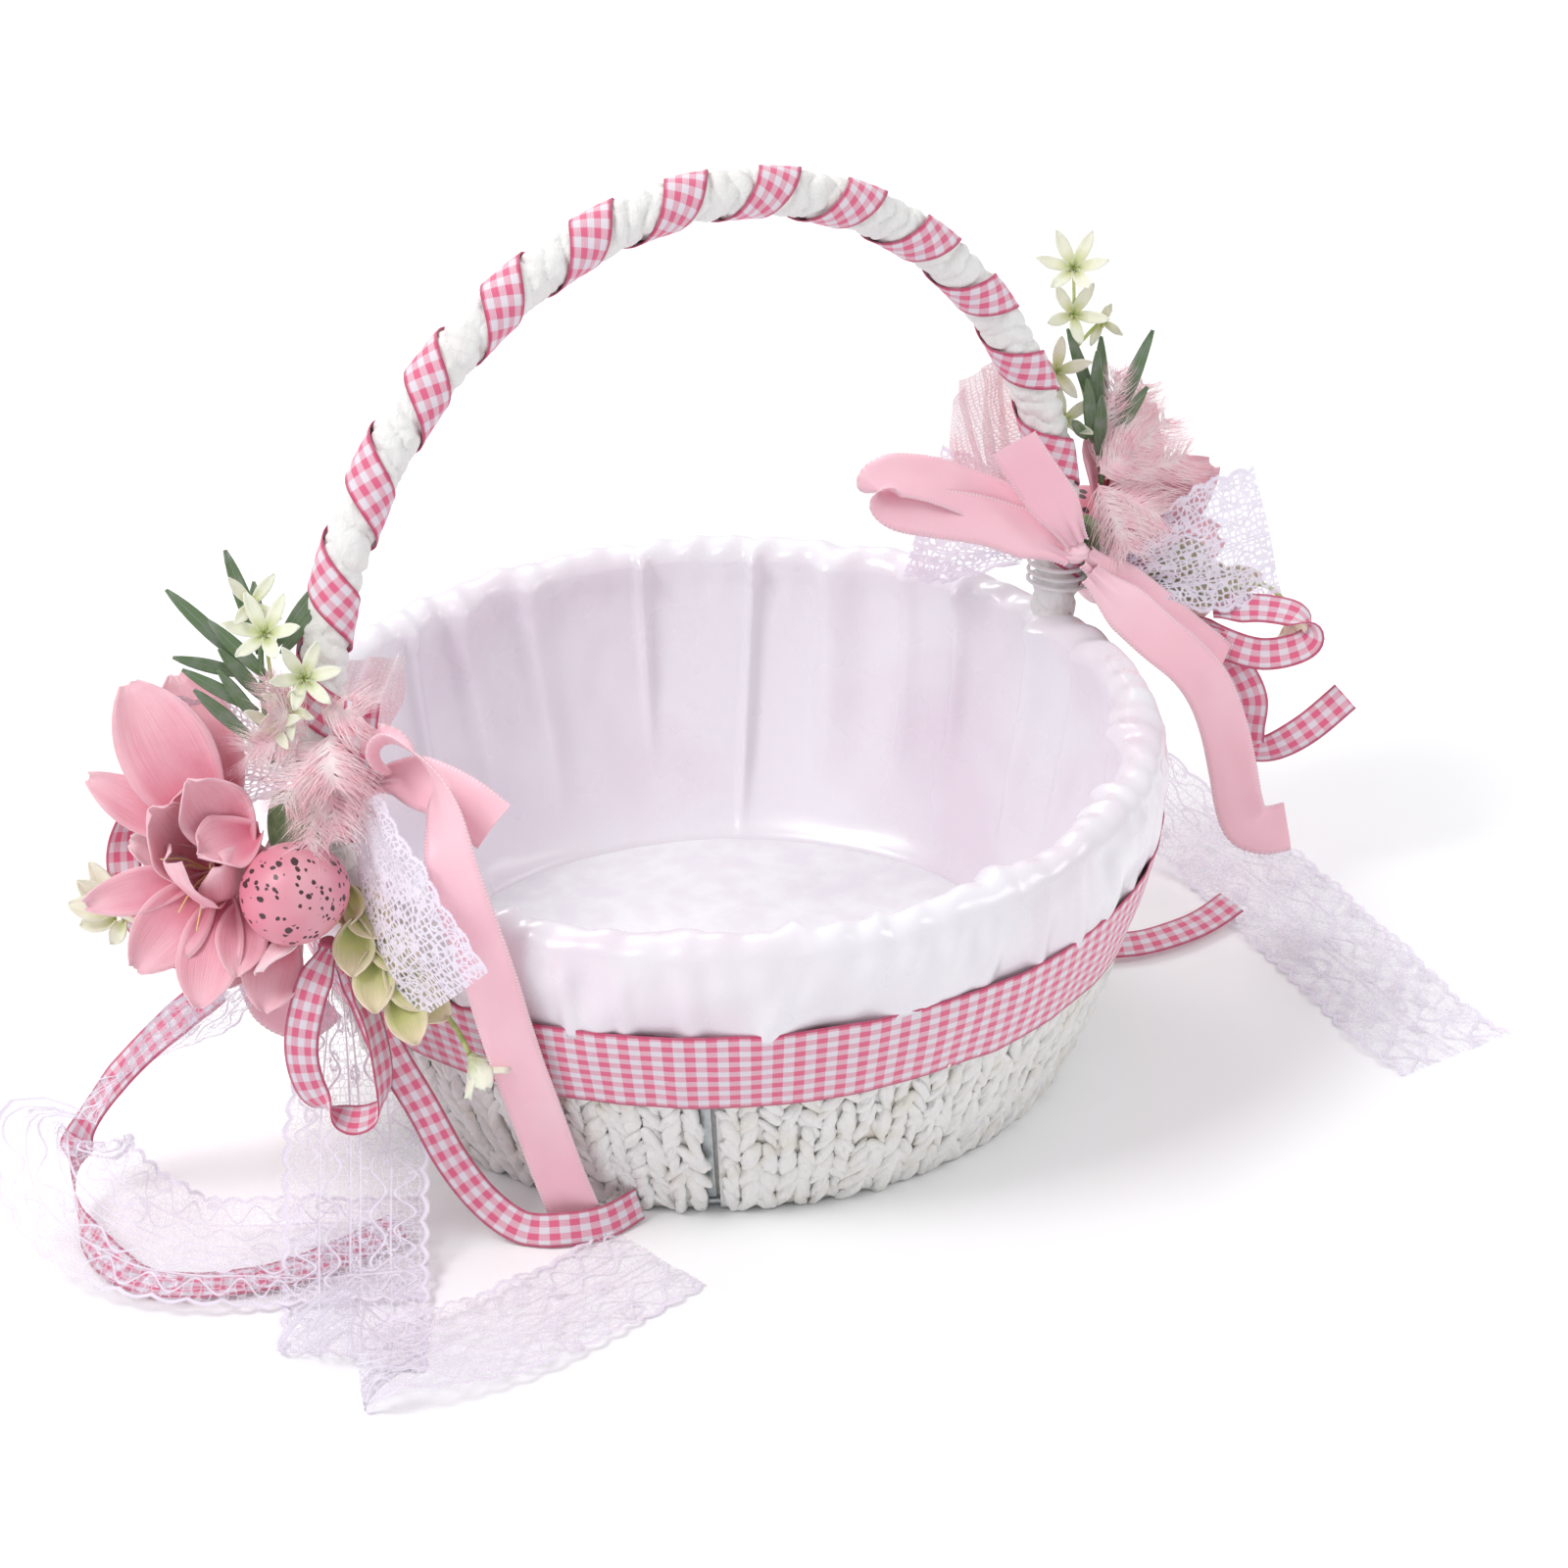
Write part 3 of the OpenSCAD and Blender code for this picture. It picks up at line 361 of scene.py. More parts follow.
def tulle_finish():
    """Fine net, more solid where it is folded."""
    f = Finish("tulle", 0.7, Sheen_Weight=0.3)
    uv = f.place("UV")
    net = f.span(f.cells(uv, 1 / 0.0011, "DISTANCE_TO_EDGE", 0.4), 0.08, 0.2, 1.0, 0.6)
    fold = f.span(f.grain(f.place("UV", scale=(6, 0.6, 1)), 12, 2), 0.3, 0.7, 0.7, 1.0)
    f.put(f.shader, "Alpha", f.math("MULTIPLY", net, fold))
    f.paint(f.blend(f.span(f.grain(uv, 60, 2), 0.35, 0.65), colour("tulle"),
                    (0.95, 0.86, 0.87, 1)))
    return f.material


def petal_finish(name, throat, middle, rim):
    """The UV map runs across a petal from -1 to 1 and along it from 0 to 1."""
    f = Finish(name, 0.5, Subsurface_Weight=0.12, Subsurface_Scale=0.002, Sheen_Weight=0.25)
    f.shader.inputs["Subsurface Radius"].default_value = (0.8, 0.4, 0.35)
    uv = f.place("UV")
    along = f.axis(uv, 1)
    side = f.math("ABSOLUTE", f.axis(uv, 0))
    cloud = f.grain(f.place(), 110, 3)
    vein = f.grain(f.place("UV", scale=(16, 1.6, 1)), 1.4, 3, 0.3)
    fade = f.math("ADD", along, f.math("MULTIPLY", f.math("SUBTRACT", cloud, 0.5), 0.5))
    body = f.blend(f.span(fade, 0.05, 0.5), throat, middle)
    body = f.blend(f.span(fade, 0.5, 1.05, 0, 0.9), body, rim)
    body = f.blend(f.span(side, 0.72, 1.0, 0, 0.6), body, rim)
    f.paint(f.blend(f.span(vein, 0.55, 0.72, 0, 0.35), body, throat))
    f.bump(f.math("ADD", vein, f.math("MULTIPLY", cloud, 0.4)), 0.35, 0.0006)
    return f.material


def speckled_finish():
    """A painted shell with drawn-out dark speckles in two sizes."""
    f = Finish("egg", 0.42, Coat_Weight=0.12, Coat_Roughness=0.3, Subsurface_Weight=0.05)
    f.shader.inputs["Subsurface Scale"].default_value = 0.002
    spot = f.place(scale=(1, 0.62, 0.85))
    warped = f.node("VectorMath", operation="ADD")
    noise_node = f.node("TexNoise")
    f.tree.links.new(spot, noise_node.inputs["Vector"])
    noise_node.inputs["Scale"].default_value = 420
    scaled = f.node("VectorMath", operation="SCALE")
    f.tree.links.new(noise_node.outputs["Color"], scaled.inputs[0])
    scaled.inputs["Scale"].default_value = 0.0011
    f.tree.links.new(spot, warped.inputs[0])
    f.tree.links.new(scaled.outputs[0], warped.inputs[1])
    big = f.span(f.cells(warped.outputs[0], 200), 0.19, 0.22, 1, 0)
    small = f.span(f.cells(warped.outputs[0], 480), 0.25, 0.30, 1, 0)
    keep = f.span(f.grain(spot, 190, 1), 0.40, 0.44)
    marks = f.math("MAXIMUM", big, f.math("MULTIPLY", small, keep))
    pale = tuple(0.75 * c + 0.2 for c in colour("egg")[:3]) + (1,)
    shell = f.blend(f.span(f.grain(spot, 60, 2), 0.35, 0.7), colour("egg"), pale)
    f.paint(f.blend(f.math("MULTIPLY", marks, 0.97), shell, colour("speckle")))
    f.bump(f.grain(spot, 1500, 2), 0.15, 0.0002)
    return f.material


def leaf_finish(name, base, light):
    """A leaf with a paler rib down the middle."""
    f = Finish(name, 0.5, Subsurface_Weight=0.06, Subsurface_Scale=0.001)
    uv = f.place("UV")
    side = f.math("ABSOLUTE", f.axis(uv, 0))
    rib = f.span(side, 0.03, 0.16, 0.8, 0)
    cloud = f.grain(f.place(), 220, 3)
    f.paint(f.blend(f.math("MAXIMUM", rib, f.span(cloud, 0.45, 0.75)), base, light))
    f.bump(f.math("ADD", cloud, rib), 0.4, 0.0004)
    return f.material


def plain_finish(name, base, light, roughness, scale=300, bump=0.3, **sockets):
    """Two close colours mixed in a fine grain."""
    f = Finish(name, roughness, **sockets)
    cloud = f.grain(f.place(), scale, 4)
    f.paint(f.blend(f.span(cloud, 0.35, 0.65), base, light))
    f.bump(cloud, bump, 0.0004)
    return f.material


# ---------------------------------------------------------------- making meshes
def deselect():
    """Clears the selection, which an operator would act on."""
    for thing in bpy.context.selected_objects:
        thing.select_set(False)


def mesh_piece(name, points, faces, material, uvs=None):
    """A smooth mesh from points in metres. uvs holds one pair for each point."""
    mesh = bpy.data.meshes.new(name)
    mesh.from_pydata(points, [], faces)
    if uvs is not None:
        layer = mesh.uv_layers.new(name="UVMap").data
        for loop in mesh.loops:
            layer[loop.index].uv = uvs[loop.vertex_index]
    mesh.polygons.foreach_set("use_smooth", [True] * len(mesh.polygons))
    mesh.materials.append(material)
    mesh.update()
    piece = bpy.data.objects.new(name, mesh)
    bpy.context.scene.collection.objects.link(piece)
    return piece


def apply_modifiers(piece):
    """Applies every modifier of a piece, in order."""
    deselect()
    piece.select_set(True)
    bpy.context.view_layer.objects.active = piece
    for modifier in list(piece.modifiers):
        bpy.ops.object.modifier_apply(modifier=modifier.name)


def thicken(piece, thickness):
    """Gives a sheet its thickness, in metres, half to each side."""
    solid = piece.modifiers.new("Thickness", "SOLIDIFY")
    solid.thickness = thickness
    solid.offset = 0
    apply_modifiers(piece)


def fit_piece(piece, slot, *nodes):
    """Makes a piece ride with the basket and stand for the nodes named."""
    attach(piece, "root")
    if nodes:
        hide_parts(*nodes)
    return piece


def grid_faces(rows, columns, closed_columns=False, start=0):
    """Faces of a grid whose points are listed row by row."""
    faces = []
    for i in range(rows - 1):
        for j in range(columns if closed_columns else columns - 1):
            a = start + i * columns + j
            b = start + i * columns + (j + 1) % columns
            c = start + (i + 1) * columns + (j + 1) % columns
            d = start + (i + 1) * columns + j
            faces.append((a, b, c, d))
    return faces


def smooth_row(rows, index, t):
    """A row on the smooth curve through the rows of a route."""
    a = rows[max(index - 1, 0)]
    b = rows[index]
    c = rows[index + 1]
    d = rows[min(index + 2, len(rows) - 1)]
    return [0.5 * (2 * q + (r - p) * t + (2 * p - 5 * q + 4 * r - s) * t * t
                   + (3 * q - p - 3 * r + s) * t ** 3) for p, q, r, s in zip(a, b, c, d)]


def smooth_route(rows, step):
    """The whole curve, with points about step apart."""
    out = []
    for index in range(len(rows) - 1):
        gap = math.dist(rows[index][:3], rows[index + 1][:3])
        count = max(2, round(gap / step))
        out += [smooth_row(rows, index, k / count) for k in range(count)]
    return out + [list(rows[-1])]


def wall_r(z):
    """Outer radius of the wall at height z, both in millimetres."""
    u = z / (WALL_TOP / MM)
    return BASE_R + (RIM_R / MM - BASE_R) * u + 4 * WALL_BULGE * u * (1 - u)


def wall_point(radius, angle, z):
    """A point round the middle of the basket, in metres, from millimetres."""
    return (radius * MM * math.cos(angle), radius * MM * math.sin(angle), z * MM)


def hum(x, y, z, seed=0.0):
    """Smooth noise, the same on every run."""
    return noise.noise(Vector((x + seed * 7.3, y - seed * 3.1, z + seed * 1.7)))


def aim_matrix(place, azimuth, elevation, roll=0.0):
    """Takes +X to a compass angle and an elevation, after a roll about itself."""
    return (Matrix.Translation(Vector(place) * MM)
            @ Matrix.Rotation(math.radians(azimuth), 4, "Z")
            @ Matrix.Rotation(math.radians(-elevation), 4, "Y")
            @ Matrix.Rotation(math.radians(roll), 4, "X"))


def reach_matrix(base, tip, face):
    """Takes +X along base to tip with +Z turned to the face direction."""
    along = (Vector(tip) - Vector(base)).normalized()
    up = Vector(face) - along * along.dot(Vector(face))
    up.normalize()
    across = up.cross(along)
    turn = Matrix((along, across, up)).transposed().to_4x4()
    return Matrix.Translation(Vector(base) * MM) @ turn


# ---------------------------------------------------------------- ribbons
def ribbon_rows(route, step):
    """Points, across and face directions of a ribbon, with the length along it, in mm."""
    rows = smooth_route(route, step)
    out, length = [], 0.0
    for i, row in enumerate(rows):
        before, after = rows[max(i - 1, 0)], rows[min(i + 1, len(rows) - 1)]
        along = (Vector(after[:3]) - Vector(before[:3])).normalized()
        across = Vector(row[3:6])
        across -= along * along.dot(across)
        across.normalize()
        if i:
            length += math.dist(rows[i - 1][:3], row[:3])
        out.append((Vector(row[:3]), across, along.cross(across), length))
    return out


def ribbon_piece(name, route, width, material, columns=7, step=1.2, pinch=(1, 1), ruffle=0.0,
                 edge=0.0, edge_pitch=1.1, lowest=0.3, thickness=0.3, reach=18.0, seed=1):
    """A ribbon along a route. pinch narrows it at each end, ruffle gathers it there."""
    rows = ribbon_rows(route, step)
    total = rows[-1][3]
    points, uvs = [], []
    half = width / 2
    for place, across, face, length in rows:
        near = min(1.0, length / reach)
        far = min(1.0, (total - length) / reach)
        ease = [t * t * (3 - 2 * t) for t in (near, far)]
        wide = (pinch[0] + (1 - pinch[0]) * ease[0]) * (pinch[1] + (1 - pinch[1]) * ease[1])
        tip = edge * abs(math.sin(math.pi * length / edge_pitch))
        for j in range(columns):
            t = 2 * j / (columns - 1) - 1
            out = t * (half * wide + tip * abs(t) ** 6)
            wave = hum(length * 0.07, t * 1.3, 0, seed) * width * 0.05
            fold = (1 - wide) * ruffle * math.sin(t * 9 + seed + length * 0.05)
            p = place + across * out + face * (wave + fold)
            points.append((p.x * MM, p.y * MM, max(p.z, lowest) * MM))
            uvs.append((t * half * MM, length * MM))
    piece = mesh_piece(name, points, grid_faces(len(rows), columns), material, uvs)
    if thickness:
        thicken(piece, thickness * MM)
    return piece, total


def cloth_ribbon(name, route, width, material, slot, held, rests_on, nodes=(), **shape):
    """A ribbon piece with its fittings."""
    piece, length = ribbon_piece(name, route, width / MM, material, **shape)
    fit_piece(piece, slot, *nodes)
    return piece


# Each row is a point of the ribbon's middle, then the direction across the ribbon there
LEFT_SATIN_LONG = [
    [-130, -14, 134, 0.6, -0.6, 0.5], [-130, -20, 147, 0.2, -0.8, 0.5],
    [-128, -30, 154, -0.3, -0.8, 0.5], [-126, -43, 151, -0.5, -0.7, 0.5],
    [-128, -52, 141, 0.2, -0.9, 0.4], [-131, -60, 129, 0.6, -0.7, 0.2],
    [-130, -66, 114, 0.8, -0.6, 0], [-126, -69, 95, 0.8, -0.6, 0],
    [-120, -69, 70, 0.8, -0.6, 0], [-113, -68, 47, 0.8, -0.6, 0],
    [-105, -66, 22, 0.8, -0.6, 0], [-99, -67, 2, 0.8, -0.6, 0]]
LEFT_SATIN_SHORT = [
    [-129, -16, 136, 0.2, 0.3, 0.9], [-125, -23, 139, 0.3, 0.3, 0.9],
    [-121, -34, 140, 0.4, 0.2, 0.9], [-117, -46, 138, 0.5, 0.2, 0.8],
    [-114, -56, 134, 0.6, 0.2, 0.8]]
LEFT_SATIN_BACK = [
    [-134, 14, 122, 0.8, 0.3, 0], [-143, 20, 100, 0.8, 0.3, 0.2],
    [-150, 22, 76, 0.6, 0.3, 0.5], [-148, 18, 58, 0.3, 0.3, 0.8],
    [-141, 12, 52, 0.1, 0.3, 0.9], [-134, 10, 56, 0.1, 0.3, 0.9]]
LEFT_LACE_FOLD = [
    [-137, -24, 133, 0, -0.7, 0.7], [-141, -40, 120, 0.1, -0.7, 0.7],
    [-141, -55, 105, 0.15, -0.7, 0.7], [-136, -66, 92, 0.2, -0.7, 0.7]]
LEFT_LACE_BACK = [
    [-136, 18, 128, 0.3, -0.3, 0.9], [-147, 26, 131, 0.3, -0.3, 0.9],
    [-158, 32, 134, 0.3, -0.3, 0.9], [-168, 36, 136, 0.3, -0.3, 0.9]]
LEFT_LACE_FAR = [
    [-152, -1, 86, 0.75, 0.2, -0.6], [-166, 8, 70, 0.8, 0.2, -0.5],
    [-182, 18, 54, 0.85, 0.3, -0.3], [-197, 27, 43, 0.75, 0.6, 0],
    [-209, 30, 35, 0.6, 0.5, 0.2], [-216, 25, 29, 0.7, 0.2, 0.4],
    [-219, 13, 23, 0.75, 0, 0.45], [-216, 0, 18, 0.8, 0.25, 0.4],
    [-208, -12, 13, 0.7, 0.5, 0.3], [-197, -22, 9.5, 0.5, 0.75, 0.25],
    [-180, -32, 8, 0.5, 0.8, 0.25], [-162, -43, 7, 0.5, 0.8, 0.22],
    [-143, -54, 6, 0.5, 0.8, 0.2]]
LEFT_LACE_NEAR = [
    [-141, -12, 88, 0.8, -0.5, 0.1], [-143, -18, 66, 0.8, -0.5, 0.1],
    [-148, -27, 42, 0.8, -0.55, 0.1], [-155, -36, 20, 0.8, -0.56, 0],
    [-163, -47, 7, 0.8, -0.55, 0], [-170, -58, 2, 0.75, -0.6, 0],
    [-178, -70, 1, 0.6, -0.8, 0], [-186, -82, 1.5, 0.4, -0.92, 0],
    [-190, -88, 4.5, 0.3, -0.95, 0], [-185, -93, 7, 0.3, -0.95, 0],
    [-172, -98, 6, 0.2, -0.98, 0], [-150, -101, 4, 0.2, -0.98, 0],
    [-122, -98, 1.5, 0.25, -0.97, 0], [-90, -93, 1, 0.3, -0.95, 0]]
LEFT_GINGHAM_LOOP = [
    [-152, -26, 95, 0.8, -0.5, 0.2], [-160, -27, 83, 0.7, -0.5, 0.3],
    [-163, -25, 65, 0.6, -0.6, 0.2], [-160, -26, 49, 0.5, -0.7, 0],
    [-153, -33, 42, -0.4, -0.8, -0.4], [-147, -40, 47, -0.7, -0.6, -0.3],
    [-146, -41, 60, -0.8, -0.4, 0], [-147, -38, 76, -0.8, -0.5, 0],
    [-149, -31, 90, -0.8, -0.5, 0]]
LEFT_GINGHAM_NEAR = [
    [-150, -28, 92, 0.8, -0.5, 0.2], [-146, -32, 82, 0.8, -0.5, 0.2],
    [-142, -37, 64, 0.85, -0.5, 0.2], [-135, -43, 44, 0.85, -0.5, 0.2],
    [-129, -48, 26, 0.85, -0.4, 0.2], [-122, -54, 12, 0.8, -0.4, 0.3],
    [-115, -62, 5, 0.7, -0.3, 0.6], [-106, -70, 5, 0.4, 0.2, 0.8],
    [-94, -74, 5, 0.2, 0.3, 0.9], [-82, -73, 6, 0.2, 0.3, 0.9]]
LEFT_GINGHAM_FAR = [
    [-168, 12, 71, 0.6, -0.1, 0.7], [-182, 20, 58, 0.5, 0, 0.8],
    [-194, 30, 41, 0.4, 0.2, 0.8], [-203, 38, 22, 0.3, 0.3, 0.8],
    [-210, 32, 12, 0.2, 0.4, 0.7], [-216, 14, 5, 0.2, 0.7, 0.4],
    [-216, -10, 3, 0.4, 0.9, 0.2], [-206, -25, 3, 0.4, 0.9, 0.2],
    [-184, -36, 3, 0.2, 0.9, 0.2], [-164, -39, 4, 0, 0.9, 0.2], [-142, -38, 5, 0, 0.9, 0.2]]
LEFT_GINGHAM_CURL = [
    [-154, 16, 116, 0, 0.3, 0.9], [-163, 26, 130, 0.3, 0.3, 0.8],
    [-173, 34, 130, 0.6, 0.3, 0.5], [-181, 36, 115, 0.7, 0.1, 0.3],
    [-183, 32, 96, 0.5, -0.5, 0.3], [-179, 25, 82, 0.2, -0.3, 0.8],
    [-169, 16, 80, 0.2, 0.2, 0.9]]
LEFT_GINGHAM_UP = [
    [-130, -16, 162, 0.8, -0.5, -0.1], [-133, -16, 148, 0.8, -0.55, -0.1],
    [-137, -15, 134, 0.8, -0.55, -0.1], [-141, -14, 122, 0.8, -0.55, 0]]
RIGHT_SATIN_LOOP = [
    [125, -12, 132, 0, 0.5, 0.8], [114, -4, 142, 0.1, 0.4, 0.9],
    [101, 3, 151, 0.2, 0.4, 0.8], [88, 8, 158, 0.3, 0.5, 0.6], [77, 12, 161, 0.3, 0.6, 0.5],
    [71, 12, 158, 0.2, 0.7, 0.5], [75, 8, 153, 0.3, 0.5, 0.7], [86, 4, 149, 0.3, 0.4, 0.8],
    [101, -2, 144, 0.2, 0.4, 0.8], [114, -8, 137, 0.1, 0.4, 0.8],
    [124, -15, 130, 0, 0.5, 0.8]]
RIGHT_SATIN_UP = [
    [126, -16, 134, 0.8, -0.4, 0.4], [121, -14, 145, 0.7, -0.4, 0.5],
    [115, -10, 157, 0.7, -0.5, 0.3], [109, -6, 169, 0.7, -0.5, 0.3]]
RIGHT_SATIN_SHORT = [
    [129, -17, 129, 0.4, 0.3, 0.8], [136, -20, 121, 0.5, 0.3, 0.8],
    [147, -25, 110, 0.5, 0.3, 0.7], [158, -30, 98, 0.5, 0.3, 0.7],
    [169, -34, 86, 0.5, 0.3, 0.7]]
RIGHT_SATIN_LONG = [
    [128, -20, 125, 0.4, 0.3, 0.8], [134, -26, 116, 0.5, 0.2, 0.8],
    [143, -34, 104, 0.5, 0.1, 0.8], [152, -38, 94, 0.6, 0, 0.7],
    [160, -39, 82, 0.7, -0.2, 0.5], [166, -39, 67, 0.8, -0.3, 0.2],
    [170, -39, 51, 0.8, -0.4, 0.1], [172, -40, 38, 0.8, -0.5, 0.2],
    [175, -41, 30, 0.6, -0.2, 0.7], [181, -43, 27, 0.4, 0.2, 0.8],
    [188, -45, 27, 0.4, 0.2, 0.8]]
RIGHT_GINGHAM_LOOP = [
    [163, -20, 99, 0.2, 0.2, 0.9], [171, -28, 92, 0.2, 0.2, 0.9],
    [180, -38, 88, 0.1, 0.5, 0.8], [188, -46, 90, 0, 0.8, 0.5], [192, -50, 95, 0, 0.9, 0.3],
    [191, -44, 100, 0.2, 0.8, 0.4], [184, -34, 101, 0.3, 0.7, 0.5],
    [172, -26, 101, 0.2, 0.5, 0.7]]
RIGHT_GINGHAM_TAIL = [
    [165, -24, 96, 0.4, -0.2, 0.8], [172, -29, 90, 0.6, -0.3, 0.6],
    [177, -33, 81, 0.7, -0.4, 0.4], [180, -36, 71, 0.7, -0.5, 0.2],
    [179, -36, 61, 0.5, -0.6, 0.4], [180, -36, 54, 0.1, -0.4, 0.9],
    [186, -40, 54, -0.15, 0.1, 0.9], [194, -47, 61, -0.22, 0.5, 0.8],
    [203, -54, 72, -0.22, 0.6, 0.7]]
RIGHT_GINGHAM_FLOOR = [
    [112, -30, 4, 0.1, 0.9, 0.3], [121, -38, 4, 0.1, 0.9, 0.3], [131, -43, 4, 0.1, 0.9, 0.3],
    [145, -45, 4, 0.1, 0.9, 0.3], [157, -44, 4, 0.1, 0.9, 0.3], [168, -42, 5, 0.2, 0.9, 0.3]]
RIGHT_LACE_FAN = [
    [134, -12, 118, 0.1, 0.5, 0.8], [148, -18, 119, 0.2, 0.4, 0.9],
    [163, -22, 120, 0.2, 0.3, 0.9], [178, -24, 121, 0.2, 0.3, 0.9],
    [194, -26, 122, 0.2, 0.3, 0.9]]
RIGHT_LACE_BACK = [
    [128, 12, 124, 0.3, 0.4, 0.8], [120, 22, 126, 0.3, 0.3, 0.9],
    [113, 30, 129, 0.3, 0.3, 0.9], [106, 36, 132, 0.3, 0.3, 0.9]]
RIGHT_LACE_TAIL = [
    [152, 26, 74, 0.3, 0.8, 0.4], [166, 30, 50, 0.3, 0.8, 0.5], [180, 24, 26, 0.5, 0.7, 0.4],
    [189, 10, 8, 0.8, 0.5, 0.1], [191, -10, 2, 0.95, 0.3, 0], [188, -34, 1, 0.95, 0.25, 0],
    [181, -66, 1, 0.95, 0.25, 0], [174, -100, 1, 0.95, 0.25, 0], [167, -130, 1, 0.95, 0.25, 0],
    [166, -150, 1, 0.85, 0.1, 0]]


def knot_piece(name, place, material, slot, size=4.2, seed=1):
    """A pulled knot: a ball squeezed by three turns of ribbon."""
    deselect()
    bpy.ops.mesh.primitive_uv_sphere_add(segments=28, ring_count=16, radius=size * MM,
                                         location=(0, 0, 0))
    piece = bpy.context.active_object
    piece.name = name
    for vertex in piece.data.vertices:
        p = vertex.co / MM
        turn = math.atan2(p.y, p.x)
        groove = 1 + 0.09 * math.sin(p.z * 2.6 + turn) + 0.08 * hum(p.x, p.y, p.z, seed)
        vertex.co = (Vector((p.x * groove, p.y * groove * 0.9, p.z * 0.8)) + Vector(place)) * MM
    bpy.ops.object.shade_smooth()
    piece.data.materials.append(material)
    return fit_piece(piece, slot)


class BASKET_OT_ribbons(bpy.types.Operator):
    """Satin, gingham and lace ribbons of both sprays"""
    bl_idname = "basket.ribbons"
    bl_label = "Ribbons"

    def execute(self, context):
        s = sizes()
        satin, gingham = pink_satin_finish(), gingham_finish(s.gingham_w)
        lace = lace_finish("lace", s.lace_w)
        folded_lace = lace_finish("folded_lace", s.lace_w, 0.24, 0.85)
        for side, place in (("left", (-130, -14, 134)), ("right", (127, -14, 130))):
            knot_piece(side + "_satin_knot", place, satin, "satin_pink", seed=3)
        for side, place in (("left", (-151, -24, 95)), ("right", (163, -20, 100))):
            knot_piece(side + "_gingham_knot", place, gingham, "gingham", 3.0, seed=5)
        picot = dict(columns=9, step=0.36, edge=0.35, edge_pitch=1.1)
        for name, route, held, on, nodes, pinch in (
                ("left_satin_long", LEFT_SATIN_LONG, "hung", "left_satin_knot",
                 ["left_satin_bow"], (0.4, 1)),
                ("left_satin_short", LEFT_SATIN_SHORT, "hung", "left_satin_knot", [], (0.4, 1)),
                ("left_satin_back", LEFT_SATIN_BACK, "hung", "left_satin_knot", [], (0.6, 1)),
                ("right_satin_loop", RIGHT_SATIN_LOOP, "hung", "right_satin_knot",
                 ["right_satin_bow"], (0.4, 0.4)),
                ("right_satin_up", RIGHT_SATIN_UP, "hung", "right_satin_knot", [], (0.45, 1)),
                ("right_satin_short", RIGHT_SATIN_SHORT, "hung", "right_satin_knot", [],
                 (0.5, 1)),
                ("right_satin_long", RIGHT_SATIN_LONG, "hung", "right_satin_knot", [],
                 (0.5, 1))):
            cloth_ribbon(name, route, s.satin_w, satin, "satin_pink", held, [on], nodes,
                         pinch=pinch, ruffle=2.0, **picot)
        for name, route, held, on, nodes, pinch in (
                ("left_gingham_loop", LEFT_GINGHAM_LOOP, "hung", "left_gingham_knot",
                 ["left_gingham_bow"], (0.5, 0.5)),
                ("left_gingham_near", LEFT_GINGHAM_NEAR, "hung", "left_gingham_knot", [],
                 (0.5, 1)),
                ("left_gingham_far", LEFT_GINGHAM_FAR, "hung", "left_spray_pad", [], (1, 1)),
                ("left_gingham_curl", LEFT_GINGHAM_CURL, "hung", "left_spray_pad", [], (1, 1)),
                ("left_gingham_up", LEFT_GINGHAM_UP, "hung", "left_spray_pad", [], (1, 1)),
                ("right_gingham_loop", RIGHT_GINGHAM_LOOP, "hung", "right_gingham_knot",
                 ["right_gingham_bow"], (0.5, 0.5)),
                ("right_gingham_tail", RIGHT_GINGHAM_TAIL, "hung", "right_gingham_knot", [],
                 (0.5, 1)),
                ("right_gingham_floor", RIGHT_GINGHAM_FLOOR, "laid", "base_weave", [],
                 (1, 1))):
            cloth_ribbon(name, route, s.gingham_w, gingham, "gingham", held, [on], nodes,
                         pinch=pinch, ruffle=1.0, columns=7, step=1.0, reach=10.0)
        for name, route, held, on, nodes, pinch, ruffle, reach in (
                ("left_lace_fold", LEFT_LACE_FOLD, "gathered", "left_spray_pad",
                 ["left_lace_bow"], (0.5, 0.9), 3.0, 30.0),
                ("left_lace_back", LEFT_LACE_BACK, "gathered", "left_spray_pad", [],
                 (0.4, 1), 3.0, 22.0),
                ("left_lace_far", LEFT_LACE_FAR, "hung", "left_spray_pad",
                 ["left_lace_tails"], (0.3, 1), 3.0, 46.0),
                ("left_lace_near", LEFT_LACE_NEAR, "hung", "left_spray_pad", [],
                 (0.35, 1), 3.5, 60.0),
                ("right_lace_fan", RIGHT_LACE_FAN, "gathered", "right_spray_pad",
                 ["right_lace_bow"], (0.35, 1), 5.0, 48.0),
                ("right_lace_back", RIGHT_LACE_BACK, "gathered", "right_spray_pad", [],
                 (0.4, 1), 3.0, 26.0),
                ("right_lace_tail", RIGHT_LACE_TAIL, "hung", "right_spray_pad",
                 ["right_lace_tails"], (0.5, 1), 3.0, 40.0)):
            cloth_ribbon(name, route, s.lace_w, folded_lace if held == "gathered" else lace,
                         "lace", held, [on], nodes,
                         pinch=pinch, ruffle=ruffle, columns=41, step=1.0, thickness=0,
                         reach=reach)
        return {"FINISHED"}


